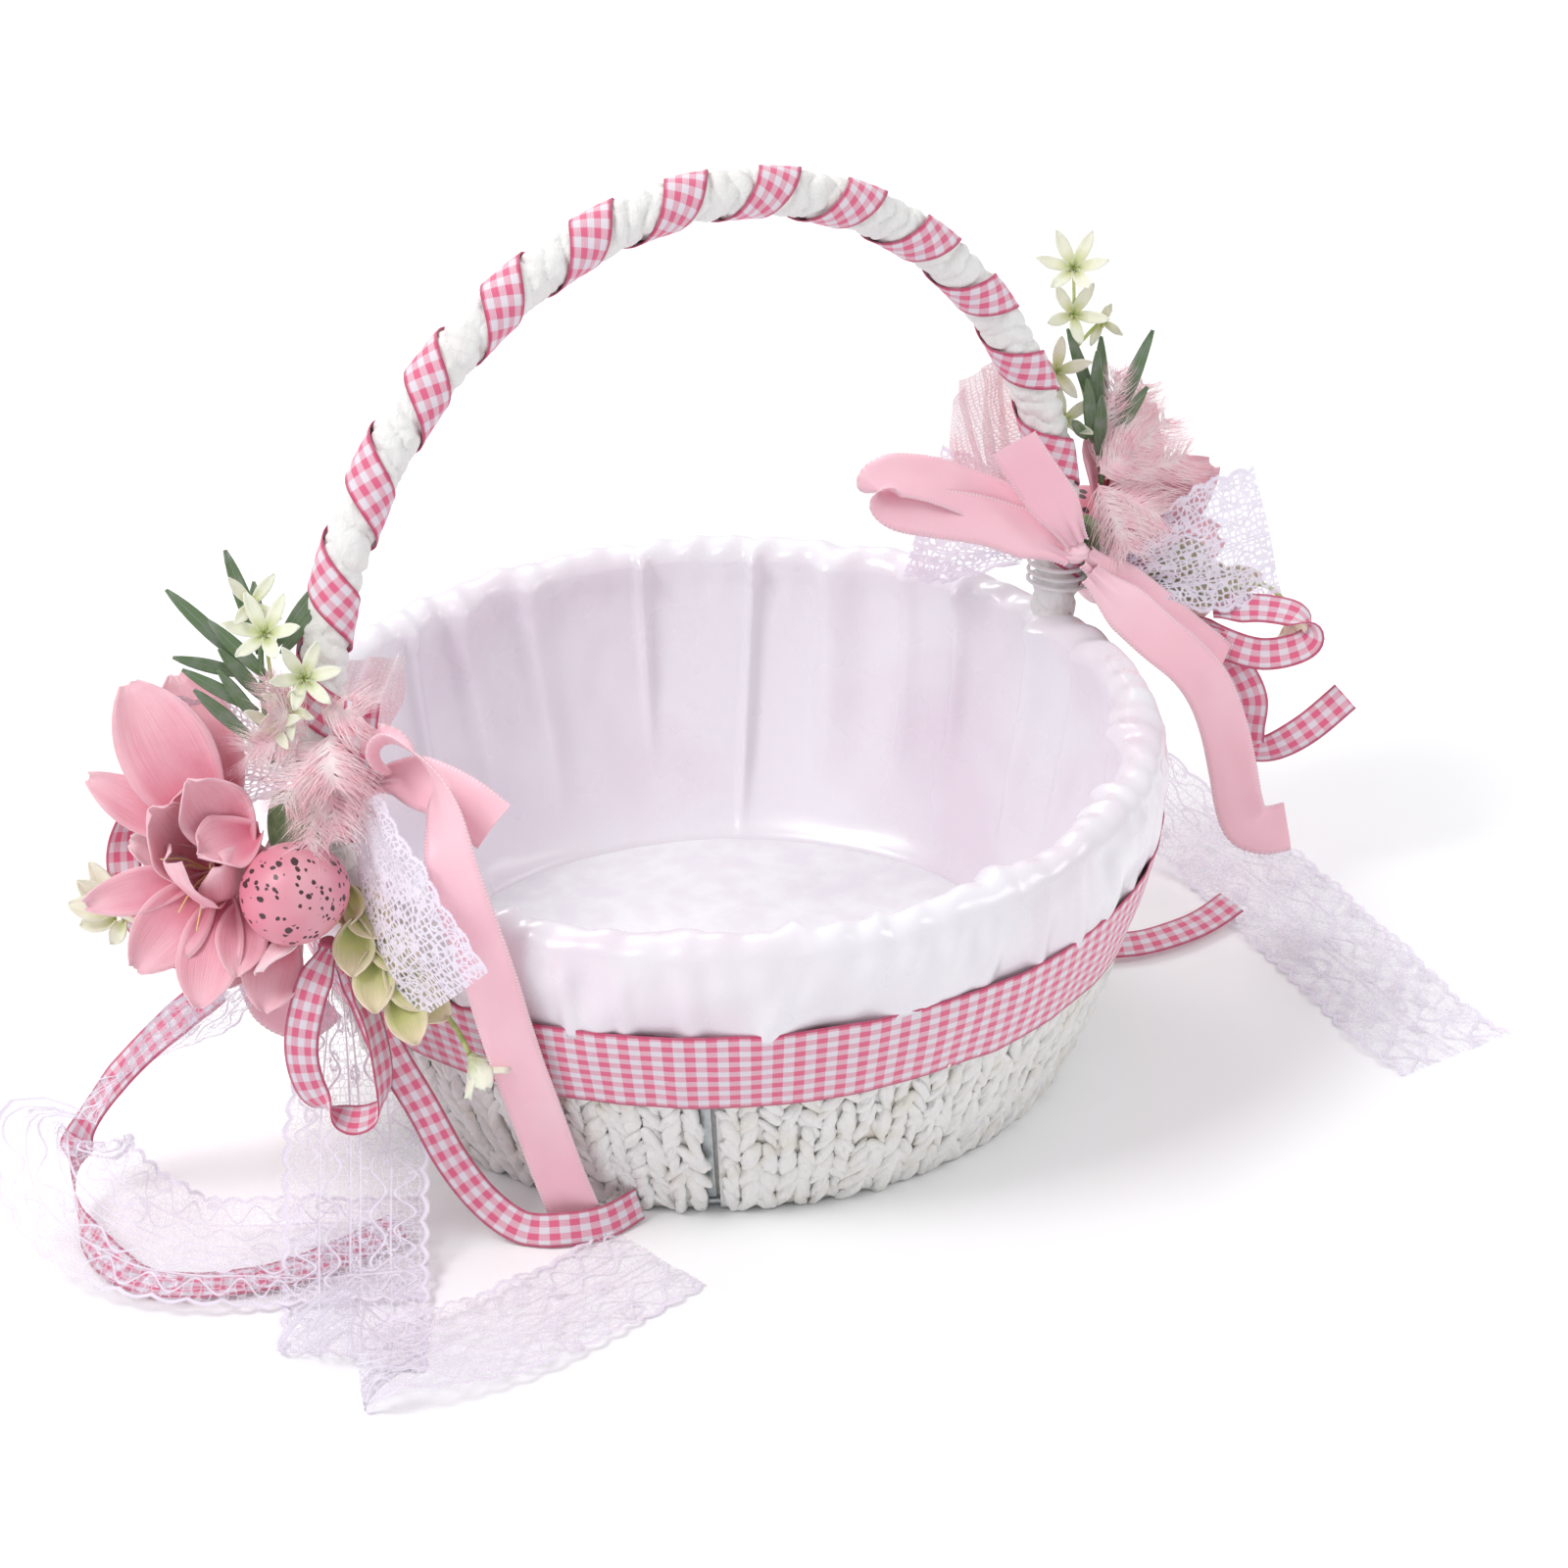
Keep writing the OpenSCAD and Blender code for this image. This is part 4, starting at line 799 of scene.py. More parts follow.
# ---------------------------------------------------------------- basket
class BASKET_OT_wall(bpy.types.Operator):
    """Woven paper-rope wall and base"""
    bl_idname = "basket.wall"
    bl_label = "Rope Wall"

    def execute(self, context):
        s = sizes()
        rope = rope_finish()
        # painted shade: the backing between the braids takes the darker cream almost all over
        backing = rope_finish("rope_shadow", 0.9)
        rows, columns = 40, 240
        points = []
        for i in range(rows):
            z = WEAVE_LOW + (WALL_TOP / MM - WEAVE_LOW) * i / (rows - 1)
            for j in range(columns):
                angle = 2 * math.pi * j / columns
                r = wall_r(z) - 2.6 + 0.5 * hum(angle * 20, z * 0.15, 0, 2)
                points.append(wall_point(r, angle, z))
        faces = [f for f in grid_faces(rows, columns, closed_columns=True)
                 if abs((f[0] % columns + 0.5) * 2 * math.pi / columns - BARE_UPRIGHT) > 0.02]
        shell = mesh_piece("wall_backing", points, faces, backing)
        thicken(shell, 0.8 * MM)
        fit_piece(shell, "paper_rope")
        braids = self.braids(s, rope)
        fit_piece(braids, "paper_rope", "wall_weave_outer")
        self.base(rope)
        return {"FINISHED"}

    def braids(self, s, rope):
        """Upright braids: each is two rows of slanting twists that meet in a V."""
        deselect()
        bpy.ops.mesh.primitive_uv_sphere_add(
            segments=TWIST_SEGMENTS, ring_count=TWIST_RINGS, radius=1, location=(0, 0, 0))
        twist = bpy.context.active_object
        shape = [v.co.copy() for v in twist.data.vertices]
        loops = [tuple(p.vertices) for p in twist.data.polygons]
        bpy.data.objects.remove(twist)
        points, faces = [], []
        rng = random.Random(4)
        pitch = s.scale_pitch / MM
        rise = round((WEAVE_HIGH - WEAVE_LOW) / pitch)
        for braid in range(s.braid_count):
            middle = 2 * math.pi * (braid + 0.5) / s.braid_count
            wide = math.pi * wall_r(30) / s.braid_count
            drift = rng.uniform(-0.4, 0.4)
            for side in (-1, 1):
                if side > 0 and abs(middle - BARE_UPRIGHT) < 0.02:
                    continue
                for k in range(rise):
                    z = WEAVE_LOW + 1.6 + pitch * (k + (0.25 if side > 0 else -0.05)) + drift
                    z += rng.uniform(-1.5, 1.5)
                    if k == 0:
                        z = max(z, WEAVE_LOW + 1.3)
                    length = 6.4 * rng.uniform(0.7, 1.3)
                    thick = 1.9 * rng.uniform(0.7, 1.25)
                    tilt = side * math.radians(rng.uniform(4, 42))
                    at = middle + side * wide * 0.46 / wall_r(z) + rng.uniform(-0.003, 0.003)
                    push = rng.uniform(-0.7, 0.35)
                    broad = 2.2 * rng.uniform(0.75, 1.3)
                    start = len(points)
                    for q in shape:
                        x = q.z * length
                        lump = hum(q.x * 1.6, q.y * 1.6, q.z * 2.2, start * 0.01)
                        y = q.x * broad * (1 + 0.45 * lump)
                        out = q.y * thick * (1 + 0.5 * lump) + 0.5 * math.sin(q.z * 2 + side)
                        run = x * math.sin(tilt) + y * math.cos(tilt)
                        up = x * math.cos(tilt) - y * math.sin(tilt)
                        height = z + up
                        radius = wall_r(max(height, 0)) - 1.3 + push + out
                        points.append(wall_point(radius, at + run / wall_r(z),
                                                 max(height, 0.1)))
                    faces += [tuple(start + v for v in loop) for loop in loops]
        return mesh_piece("rope_braids", points, faces, rope)

    def base(self, rope):
        """A woven disc under the basket, in a spiral of rope"""
        points = []
        turns, ring = 21, 96
        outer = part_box("base_weave")[1][0] / MM
        rows = turns * 4
        for i in range(rows + 1):
            r = outer * i / rows
            for j in range(ring):
                angle = 2 * math.pi * j / ring
                dip = 0.9 * abs(math.sin(math.pi * i / 4)) + 0.25 * math.sin(angle * 40 + i)
                points.append(wall_point(max(r, 0.4), angle, 1.3 - dip))
        start = len(points)
        for i in range(rows + 1):
            r = outer * i / rows
            for j in range(ring):
                points.append(wall_point(max(r, 0.4), 2 * math.pi * j / ring, 4.6))
        faces = [tuple(reversed(f)) for f in grid_faces(rows + 1, ring, closed_columns=True)]
        faces += grid_faces(rows + 1, ring, closed_columns=True, start=start)
        faces += [tuple(reversed((rows * ring + j, rows * ring + (j + 1) % ring,
                   start + rows * ring + (j + 1) % ring, start + rows * ring + j)))
                  for j in range(ring)]
        faces += [tuple(range(ring)), tuple(start + j for j in reversed(range(ring)))]
        piece = mesh_piece("woven_base", points, faces, rope)
        fix_normals(piece)
        fit_piece(piece, "paper_rope", "base_weave")


def fix_normals(piece):
    """Merges doubled points and turns every face outwards."""
    shape = bmesh.new()
    shape.from_mesh(piece.data)
    bmesh.ops.remove_doubles(shape, verts=shape.verts, dist=1e-6)
    bmesh.ops.recalc_face_normals(shape, faces=shape.faces)
    shape.to_mesh(piece.data)
    shape.free()


class BASKET_OT_liner(bpy.types.Operator):
    """Pleated satin liner with its gathered rim, ruffled cuff and soft floor"""
    bl_idname = "basket.liner"
    bl_label = "Satin Liner"

    def execute(self, context):
        s = sizes()
        rng = random.Random(11)
        satin = satin_finish("satin_white", colour("satin"), colour("satin_painted_shade"))
        pleats = []
        for k in range(s.pleat_count):
            angle = 2 * math.pi * (k + rng.uniform(-0.4, 0.4)) / s.pleat_count
            pleats.append((angle, rng.uniform(0.022, 0.075), rng.uniform(2.0, 5.6),
                           rng.uniform(-0.05, 0.05), rng.uniform(0.0, 0.45)))
        columns = 870
        inner_rows, roll_rows, cuff_rows = 26, 16, 14
        low_z = FLOOR_Z / MM - 2
        half_roll = WALL_T / 2 + 1.0
        points, uvs = [], []
        for i in range(inner_rows + roll_rows + cuff_rows):
            for j in range(columns):
                angle = 2 * math.pi * j / columns
                gather = (math.sin(angle * s.gather_count + 3.5 * math.sin(angle * 7) + i * 0.3)
                          + 0.6 * math.sin(angle * s.gather_count * 1.63 + 1)
                          + 1.2 * hum(math.cos(angle) * 6, math.sin(angle) * 6, i * 0.02, 3))
                puff = hum(math.cos(angle) * 3, math.sin(angle) * 3, 0.5, 7)
                if i < inner_rows:
                    u = i / inner_rows
                    z = low_z + (WALL_TOP / MM + 1 - low_z) * u
                    fold = self.fold(pleats, angle, u)
                    foot = max(0.0, 1 - u / 0.12)
                    z = max(z, FLOOR_Z / MM - 0.9)
                    r = wall_r(z) - LINING_IN - fold * (1 - foot) - 5 * foot ** 2
                    r -= 0.5 * gather * max(0, u - 0.8) * 3
                elif i < inner_rows + roll_rows:
                    u = (i - inner_rows) / (roll_rows - 1)
                    a = math.radians(175 - 170 * u)
                    size = 1 + 0.09 * gather + 0.42 * puff
                    fold = self.fold(pleats, angle, 1.0) * (1 - u)
                    r = RING_R + (half_roll + 0.4) * math.cos(a) * (0.9 + 0.14 * size) - fold
                    z = BORDER_Z + (5.2 * math.sin(a)) * size
                else:
                    u = (i - inner_rows - roll_rows + 1) / cuff_rows
                    hem = CUFF_HEM + 1.6 * hum(angle * 9, 0, 0, 4) + 0.9 * math.sin(angle * 31)
                    z = BORDER_Z - (BORDER_Z - hem) * u
                    bulge = 2.4 * math.sin(math.pi * min(1, u * 1.05)) ** 0.8
                    crease = self.crease(angle, u)
                    r = wall_r(min(z, WALL_TOP / MM)) + 0.9 + bulge * (0.75 + 0.5 * puff)
                    r += 0.55 * gather * (1 - u) + crease * (0.3 + 0.7 * u)
                points.append(wall_point(r, angle, z))
                uvs.append((angle * 0.13, i * 0.003))
        rows = inner_rows + roll_rows + cuff_rows
        faces = [tuple(reversed(f)) for f in grid_faces(rows, columns, closed_columns=True)]
        liner = mesh_piece("satin_lining", points, faces, satin, uvs)
        thicken(liner, 0.35 * MM)
        fit_piece(liner, "satin_white", "satin_liner")
        self.floor()
        return {"FINISHED"}

    def fold(self, pleats, angle, u):
        """How far the satin stands in from the wall at an angle, u up the inside"""
        depth = 0.6 + 0.5 * math.sin(angle * 13 + 3 * u)
        for middle, width, height, slant, start in pleats:
            gap = (angle - middle - slant * u + math.pi) % (2 * math.pi) - math.pi
            if abs(gap) < 3 * width:
                rise = max(0.0, min(1.0, (u - start) * 3 + 0.25))
                sharp = gap / width
                side = 1.0 if sharp < 0 else 0.45
                depth += height * rise * math.exp(-(sharp / side) ** 2)
        return max(0.0, depth)

    def crease(self, angle, u):
        """Soft folds of the cuff where it hangs over the rim"""
        bend = 0.25 * math.sin(3 * u + 4 * angle)
        wave = math.sin(angle * 37 + 3 * math.sin(angle * 5) + bend)
        lap = (angle * 13 / (2 * math.pi) + 0.3 * math.sin(angle * 3) + 0.25 * u) % 1.0
        return (1.3 * max(0, wave) ** 2 + 0.9 * math.sin(angle * 17 + 6 * u) * (1 - 0.4 * u)
                + 1.9 * lap ** 4 * (1 - max(0.0, lap - 0.9) / 0.1))

    def floor(self):
        """The stiff white disc on the bottom and the wadding under it"""
        felt = plain_finish("felt_white", (0.92, 0.91, 0.93, 1), (0.86, 0.83, 0.87, 1), 0.75,
                            120, 0.5, Sheen_Weight=0.3)
        wadding = plain_finish("wadding", (0.86, 0.86, 0.86, 1), (0.8, 0.8, 0.78, 1), 0.9)
        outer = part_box("floor_cover")[1][0] / MM + 1.2
        for name, node, slot, low, high, finish, lump in (
                ("floor_disc", "floor_cover", "felt_white", FLOOR_Z / MM - 0.8,
                 FLOOR_Z / MM + 0.2, felt, 0.5),
                ("floor_wadding", "floor_pad", "wadding", 7.2, 12.6, wadding, 0.2)):
            rows, ring = 44, 144
            top, bottom = [], []
            for i in range(rows + 1):
                r = outer * i / rows
                edge = math.sqrt(max(0.0, 1 - (i / rows) ** 10))
                for j in range(ring):
                    angle = 2 * math.pi * j / ring
                    x, y = r * math.cos(angle), r * math.sin(angle)
                    h = lump * (hum(x * 0.035, y * 0.035, 0, 5) + 0.4 * hum(
                        x * 0.12, y * 0.12, 0, 6))
                    mid = (low + high) / 2
                    top.append(wall_point(max(r, 0.3), angle,
                                          mid + (high - mid) * edge + h * edge))
                    bottom.append(wall_point(max(r, 0.3), angle, mid - (mid - low) * edge))
            count = len(top)
            faces = grid_faces(rows + 1, ring, closed_columns=True)
            faces += [tuple(reversed([v + count for v in f])) for f in faces]
            faces += [tuple(range(ring)), tuple(count + j for j in range(ring))]
            faces += [(rows * ring + j, rows * ring + (j + 1) % ring,
                       count + rows * ring + (j + 1) % ring, count + rows * ring + j)
                      for j in range(ring)]
            disc = mesh_piece(name, top + bottom, faces, finish)
            fix_normals(disc)
            fit_piece(disc, slot, node)


class BASKET_OT_band(bpy.types.Operator):
    """Gingham band round the wall"""
    bl_idname = "basket.band"
    bl_label = "Gingham Band"

    def execute(self, context):
        width = BAND_HIGH - BAND_LOW
        rows, columns = 18, 720
        points, uvs = [], []
        for i in range(rows):
            t = i / (rows - 1)
            for j in range(columns + 1):
                angle = 2 * math.pi * j / columns
                wave = 0.9 * hum(math.cos(angle) * 7, math.sin(angle) * 7, 0, 9)
                z = (BAND_LOW + width * t) / MM + wave * (1 - 0.4 * t)
                lift = 1.5 + 1.6 * t + 0.7 * hum(math.cos(angle) * 12, math.sin(angle) * 12,
                                                 t * 1.5, 8)
                points.append(wall_point(wall_r(z) + lift, angle, z))
                uvs.append(((t - 0.5) * width, angle * (wall_r(60) * MM)))
        finish = gingham_finish(width)
        band = mesh_piece("gingham_band", points, [tuple(reversed(f)) for f in grid_faces(
            rows, columns + 1)], finish, uvs)
        thicken(band, 0.35 * MM)
        fit_piece(band, "gingham", "band_ribbon")
        return {"FINISHED"}


# ---------------------------------------------------------------- handle
def handle_point(length, turn, radius):
    """A point at a length along the handle from its left end, turned round it, in metres."""
    a = math.pi + WRAP_ANGLE - length / HANDLE_R
    reach = HANDLE_R + radius * math.cos(turn)
    x, up, back = reach * math.cos(a), reach * math.sin(a), -radius * math.sin(turn)
    height = HANDLE_Z - LEG_TOP + up
    lean = HANDLE_LEAN
    return (x * MM, (height * math.sin(lean) + back * math.cos(lean)) * MM,
            (LEG_TOP + height * math.cos(lean) - back * math.sin(lean)) * MM)


class BASKET_OT_handle(bpy.types.Operator):
    """Twisted paper wrapping of the handle and the gingham ribbon wound over it"""
    bl_idname = "basket.handle"
    bl_label = "Wrapped Handle"

    def execute(self, context):
        s = sizes()
        rows, columns = 860, 72
        points = []
        for i in range(rows):
            length = -WRAP_TUCK + (WRAP_LEN + 2 * WRAP_TUCK) * i / (rows - 1)
            end = min(1.0, min(i, rows - 1 - i) / 3)
            for j in range(columns):
                turn = 2 * math.pi * j / columns
                lean = length / 7.2 + turn / (2 * math.pi) * 2
                wander = 0.55 * hum(length * 0.09, math.cos(turn), math.sin(turn), 2)
                phase = (lean + wander) % 1.0
                ridge = math.sin(math.pi * phase) ** 0.55
                cross = (length / 15.0 - turn / (2 * math.pi)) % 1.0
                cut = math.exp(-((cross - 0.5) / 0.07) ** 2)
                small = hum(length * 0.25, math.cos(turn) * 2, math.sin(turn) * 2, 4)
                r = WRAP_R - 1.5 + 1.3 * ridge - 0.5 * cut + 0.5 * small
                points.append(handle_point(length, turn, r * (0.35 + 0.65 * end)))
        wrap = mesh_piece("paper_wrapping", points,
                          grid_faces(rows, columns, closed_columns=True),
                          rope_finish("paper_wrap", 0.15))
        fix_normals(wrap)
        fit_piece(wrap, "paper_rope", "handle_wrap")
        self.ribbon(s)
        return {"FINISHED"}

    def ribbon(self, s):
        """The gingham ribbon, in an open helix over the wrapping"""
        half = s.winding_w / MM / 2
        pitch = s.winding_pitch / MM
        turns = math.floor(WRAP_LEN / pitch * 2) / 2
        run = WRAP_LEN - 2 * half - 4
        rings = int(turns * 64)
        slope = math.atan2(2 * math.pi * (WRAP_R + 0.35), pitch)
        columns = 9
        points, uvs, length = [], [], 0.0
        step = math.hypot(run / rings, 2 * math.pi * WRAP_R * turns / rings)
        for i in range(rings + 1):
            middle = half + 2 + run * i / rings
            turn = WINDING_START - 2 * math.pi * turns * i / rings
            for j in range(columns):
                t = 2 * j / (columns - 1) - 1
                lift = WRAP_R + 0.35 + 0.25 * hum(middle * 0.3, t, turn, 6)
                points.append(handle_point(
                    middle + t * half * math.sin(slope),
                    turn + t * half * math.cos(slope) / WRAP_R, lift))
                uvs.append((t * half * MM, length * MM))
            length += step
        ribbon = mesh_piece("handle_gingham", points, grid_faces(rings + 1, columns),
                            gingham_finish(s.winding_w), uvs)
        thicken(ribbon, 0.3 * MM)
        fit_piece(ribbon, "gingham", "handle_ribbon")


# ---------------------------------------------------------------- flowers
def blade_points(length, width, bend, cup, tip=0.8, ruffle=0.0, rows=14, columns=9, seed=1):
    """A petal or leaf along +X that curls up by bend degrees, in millimetres."""
    points, uvs = [], []
    for i in range(rows):
        u = i / (rows - 1)
        half = max(0.15, width / 2 * math.sin(math.pi * (0.05 + 0.92 * u) ** (tip + 0.3)) ** 0.75)
        a = math.radians(bend) * u
        x = length * math.sin(a) / math.radians(bend) if bend else length * u
        z = length * (1 - math.cos(a)) / math.radians(bend) if bend else 0.0
        for j in range(columns):
            t = 2 * j / (columns - 1) - 1
            lift = cup * width * t * t * (1 - 0.35 * u) + ruffle * abs(t) ** 2 * math.sin(
                u * 13 + t * 2 + seed) * u
            lift += 0.5 * ruffle * hum(u * 3, t * 1.5, 0, seed)
            notch = ruffle * 0.8 * hum(t * 2.5, 0, 0, seed) * u
            points.append(Vector((x - math.sin(a) * lift + notch, half * t,
                                  z + math.cos(a) * lift)))
            uvs.append((t, u))
    return points, grid_faces(rows, columns), uvs


class Bunch:
    """Collects many small shapes of one finish into a single piece."""

    def __init__(self):
        self.points, self.faces, self.uvs = [], [], []

    def add(self, shape, matrix):
        """Adds a shape given in millimetres, placed by a matrix in metres."""
        points, faces, uvs = shape
        start = len(self.points)
        self.points += [tuple(matrix @ (Vector(p) * MM)) for p in points]
        self.faces += [tuple(start + v for v in face) for face in faces]
        self.uvs += uvs

    def rod(self, route, radius, sides=6, taper=1.0):
        """A stalk through points in millimetres."""
        rows = smooth_route([list(p) for p in route], 2.0)
        start = len(self.points)
        for i, row in enumerate(rows):
            before, after = rows[max(i - 1, 0)], rows[min(i + 1, len(rows) - 1)]
            along = (Vector(after) - Vector(before)).normalized()
            side = along.cross(Vector((0.3, 0.2, 0.93))).normalized()
            up = side.cross(along)
            r = radius * (1 - (1 - taper) * i / (len(rows) - 1))
            for k in range(sides):
                a = 2 * math.pi * k / sides
                self.points.append(tuple((Vector(row) + (side * math.cos(a)
                                                         + up * math.sin(a)) * r) * MM))
                self.uvs.append((0.5, i / len(rows)))
        self.faces += grid_faces(len(rows), sides, closed_columns=True, start=start)
        self.faces.append(tuple(start + k for k in reversed(range(sides))))
        last = start + (len(rows) - 1) * sides
        self.faces.append(tuple(last + k for k in range(sides)))

    def piece(self, name, material, slot, *nodes, thickness=0.35):
        """Makes the one piece, with a thickness in millimetres or none."""
        made = mesh_piece(name, self.points, self.faces, material, self.uvs)
        if thickness:
            thicken(made, thickness * MM)
        return fit_piece(made, slot, *nodes)


TOWARDS = (-0.51, -0.72, 0.47)       # the side from which the basket is mostly seen

# Each petal: where it starts, where it ends, its width, the way its inside faces, its curl
LEFT_OUTER = [
    [(-167, 6, 122), (-176, 33, 162), 27, (-0.5, -0.8, 0.3), -24],
    [(-163, 8, 122), (-160, 36, 158), 24, (-0.3, -0.9, 0.4), -18],
    [(-170, 8, 120), (-192, 32, 138), 14, (-0.5, -0.7, 0.6), -20],
    [(-172, 6, 112), (-204, 18, 108), 13, (-0.6, -0.7, 0.5), -24],
    [(-170, 6, 110), (-198, 3, 92), 20, (-0.7, -0.7, 0.2), -30],
    [(-168, 2, 106), (-188, -14, 84), 19, (-0.7, -0.7, 0.1), -26],
    [(-164, -2, 104), (-178, -18, 92), 15, (-0.5, -0.8, 0.2), -30],
    [(-158, -8, 98), (-172, -21, 80), 18, (-0.4, -0.9, 0.2), -22]]
LEFT_INNER = [
    [(-163, -4, 120), (-177, 3, 145), 21, (-0.5, -0.7, 0.5), 38],
    [(-160, -6, 126), (-181, -7, 127), 19, (-0.3, -0.5, 0.9), 34],
    [(-172, 6, 108), (-188, 6, 139), 20, (0.1, -0.9, 0.3), 46],
    [(-168, 8, 110), (-172, 12, 138), 22, (-0.4, -0.8, 0.2), 26],
    [(-172, 2, 104), (-190, -4, 126), 24, (0.2, -0.3, 0.9), 40],
    [(-166, 2, 104), (-176, -12, 124), 22, (-0.5, 0.2, 0.8), 44]]
LEFT_UNDER = [
    [(-148, -16, 102), (-174, -22, 94), 20, (-0.4, -0.5, -0.8), 34],
    [(-150, 8, 100), (-176, -8, 84), 19, (-0.6, -0.7, 0.1), -20],
    [(-150, 8, 98), (-190, 14, 92), 20, (-0.6, -0.7, 0.3), -20],
    [(-148, 10, 96), (-164, -10, 76), 18, (-0.5, -0.8, 0.1), -18],
    [(-150, 12, 108), (-186, 22, 120), 20, (-0.6, -0.7, 0.4), -20]]
LEFT_LEAVES = [
    [(-144, 14, 172), (-146, 27, 198), 4.6], [(-149, 16, 168), (-163, 32, 189), 4.4],
    [(-149, 13, 165), (-167, 24, 172), 3.8], [(-150, 8, 156), (-166, 21, 169), 3.8],
    [(-153, 6, 148), (-165, 17, 164), 4.0], [(-140, 12, 172), (-125, 8, 191), 4.0],
    [(-140, 10, 170), (-131, 6, 183), 3.8], [(-150, 6, 152), (-158, 15, 169), 3.6],
    [(-145, 14, 170), (-142, 19, 190), 4.2], [(-145, 9, 164), (-156, 22, 181), 4.2],
    [(-147, 8, 158), (-156, 17, 174), 4.2]]
LEFT_STARS = [[(-147, 6, 180), 12, 6], [(-142, -5, 169), 11, 6], [(-147, -4, 161), 9, 5],
              [(-152, -3, 157), 9, 5], [(-146, 14, 186), 10, 4]]
LEFT_HOPS = [
    [(-144, -22, 112), (-148, -30, 102), 12], [(-142, -24, 108), (-140, -38, 100), 13],
    [(-145, -30, 104), (-152, -38, 91), 12], [(-141, -32, 100), (-136, -46, 92), 13],
    [(-144, -36, 96), (-150, -46, 82), 12], [(-141, -40, 92), (-135, -52, 82), 13],
    [(-142, -44, 88), (-143, -56, 74), 12], [(-139, -44, 86), (-131, -54, 78), 11]]
LEFT_BUDS = [[(-188, 30, 94), (-196, 39, 104), 7], [(-190, 31, 95), (-200, 38, 98), 7],
             [(-189, 30, 93), (-198, 36, 91), 6], [(-187, 29, 92), (-190, 32, 84), 5],
             [(-188, 30, 96), (-191, 40, 108), 6]]
LEFT_PLUMES = [[(-146, -6, 152), (-164, -6, 152), 13], [(-140, -8, 150), (-160, -18, 138), 16],
               [(-138, -10, 148), (-149, -30, 128), 17], [(-136, -8, 152), (-140, -26, 132), 15],
               [(-138, -6, 158), (-130, -18, 158), 14], [(-142, -4, 156), (-155, -4, 162), 12],
               [(-140, -8, 146), (-158, -28, 124), 13], [(-142, -4, 150), (-152, 2, 172), 10],
               [(-138, -10, 152), (-146, -26, 142), 18]]

RIGHT_OUTER = [
    [(150, 2, 128), (158, 12, 162), 26, (0.2, -0.9, 0.4), -20],
    [(152, 4, 126), (176, 14, 156), 25, (0.4, -0.8, 0.4), -22],
    [(154, 2, 120), (188, -4, 138), 22, (0.3, -0.7, 0.6), -20],
    [(154, 2, 114), (190, -6, 114), 22, (0.5, -0.7, 0.3), -24],
    [(152, 4, 110), (180, 0, 92), 22, (0.6, -0.7, 0.1), -26],
    [(150, 8, 112), (170, 30, 98), 22, (0.7, 0.5, 0.3), -24],
    [(150, 8, 122), (176, 34, 132), 22, (0.8, 0.4, 0.3), -24]]
RIGHT_INNER = [
    [(156, -2, 122), (178, -8, 136), 18, (0.5, -0.4, 0.8), 34],
    [(156, 0, 116), (180, -10, 118), 18, (0.5, -0.6, -0.2), 34],
    [(156, 4, 112), (184, 8, 108), 18, (0.3, 0.2, 0.9), 40],
    [(156, 6, 120), (182, 16, 128), 18, (0.2, -0.9, 0.2), 40]]
RIGHT_UNDER = [
    [(150, -2, 104), (178, -16, 96), 19, (0.5, -0.7, 0.3), -22],
    [(150, 0, 100), (166, -20, 86), 18, (0.4, -0.8, 0.2), -22],
    [(150, 4, 102), (184, 10, 88), 19, (0.7, -0.4, 0.3), -22],
    [(150, 8, 104), (172, 24, 82), 19, (0.6, 0.6, 0.2), -22]]
RIGHT_LEAVES = [
    [(148, 2, 158), (148, 2, 186), 4.4], [(146, 2, 156), (141, -2, 180), 4.0],
    [(150, 2, 158), (156, 10, 186), 4.4], [(152, 2, 156), (170, 2, 187), 4.6],
    [(144, 2, 158), (132, -6, 170), 3.6], [(150, 0, 154), (163, -4, 172), 4.0],
    [(147, 0, 152), (145, -4, 174), 4.2], [(150, 4, 162), (146, 14, 190), 4.0]]
RIGHT_STARS = [[(150, 16, 208), 12, 6], [(148, 14, 194), 11, 5], [(158, 12, 190), 8, 4],
               [(140, 12, 178), 11, 5], [(138, 6, 164), 10, 5]]
RIGHT_HOPS = [
    [(158, -8, 110), (168, -16, 104), 11], [(162, -12, 106), (176, -18, 102), 11],
    [(166, -14, 108), (182, -20, 110), 10], [(170, -16, 104), (186, -24, 100), 10],
    [(160, -12, 116), (176, -20, 118), 10], [(176, -18, 106), (192, -26, 106), 9]]
RIGHT_BUDS = [[(184, 28, 98), (192, 34, 104), 7], [(184, 28, 96), (190, 26, 108), 6],
              [(184, 28, 96), (188, 20, 92), 6]]
RIGHT_PLUMES = [[(146, 0, 148), (160, 0, 166), 13], [(148, -2, 144), (172, -4, 160), 15],
                [(142, -6, 146), (144, -20, 126), 16], [(144, -4, 142), (158, -18, 134), 17],
                [(148, 0, 148), (172, 8, 168), 14], [(144, -4, 148), (152, -12, 156), 16],
                [(146, 0, 150), (158, 4, 178), 11], [(150, -2, 142), (176, -10, 146), 15]]


def petals_piece(name, rows, finish, slot, node, cup=0.16):
    """The petals of one table, as one piece."""
    bunch = Bunch()
    for index, (base, tip, width, face, curl) in enumerate(rows):
        length = math.dist(base, tip) * 1.03
        matrix = reach_matrix(base, tip, face) @ Matrix.Rotation(
            math.radians(curl) / 2, 4, "Y")
        bunch.add(blade_points(length, width, curl, cup, 0.9, 1.1, 16, 11, index + 1), matrix)
    return bunch.piece(name, finish, slot, node, thickness=0.5)


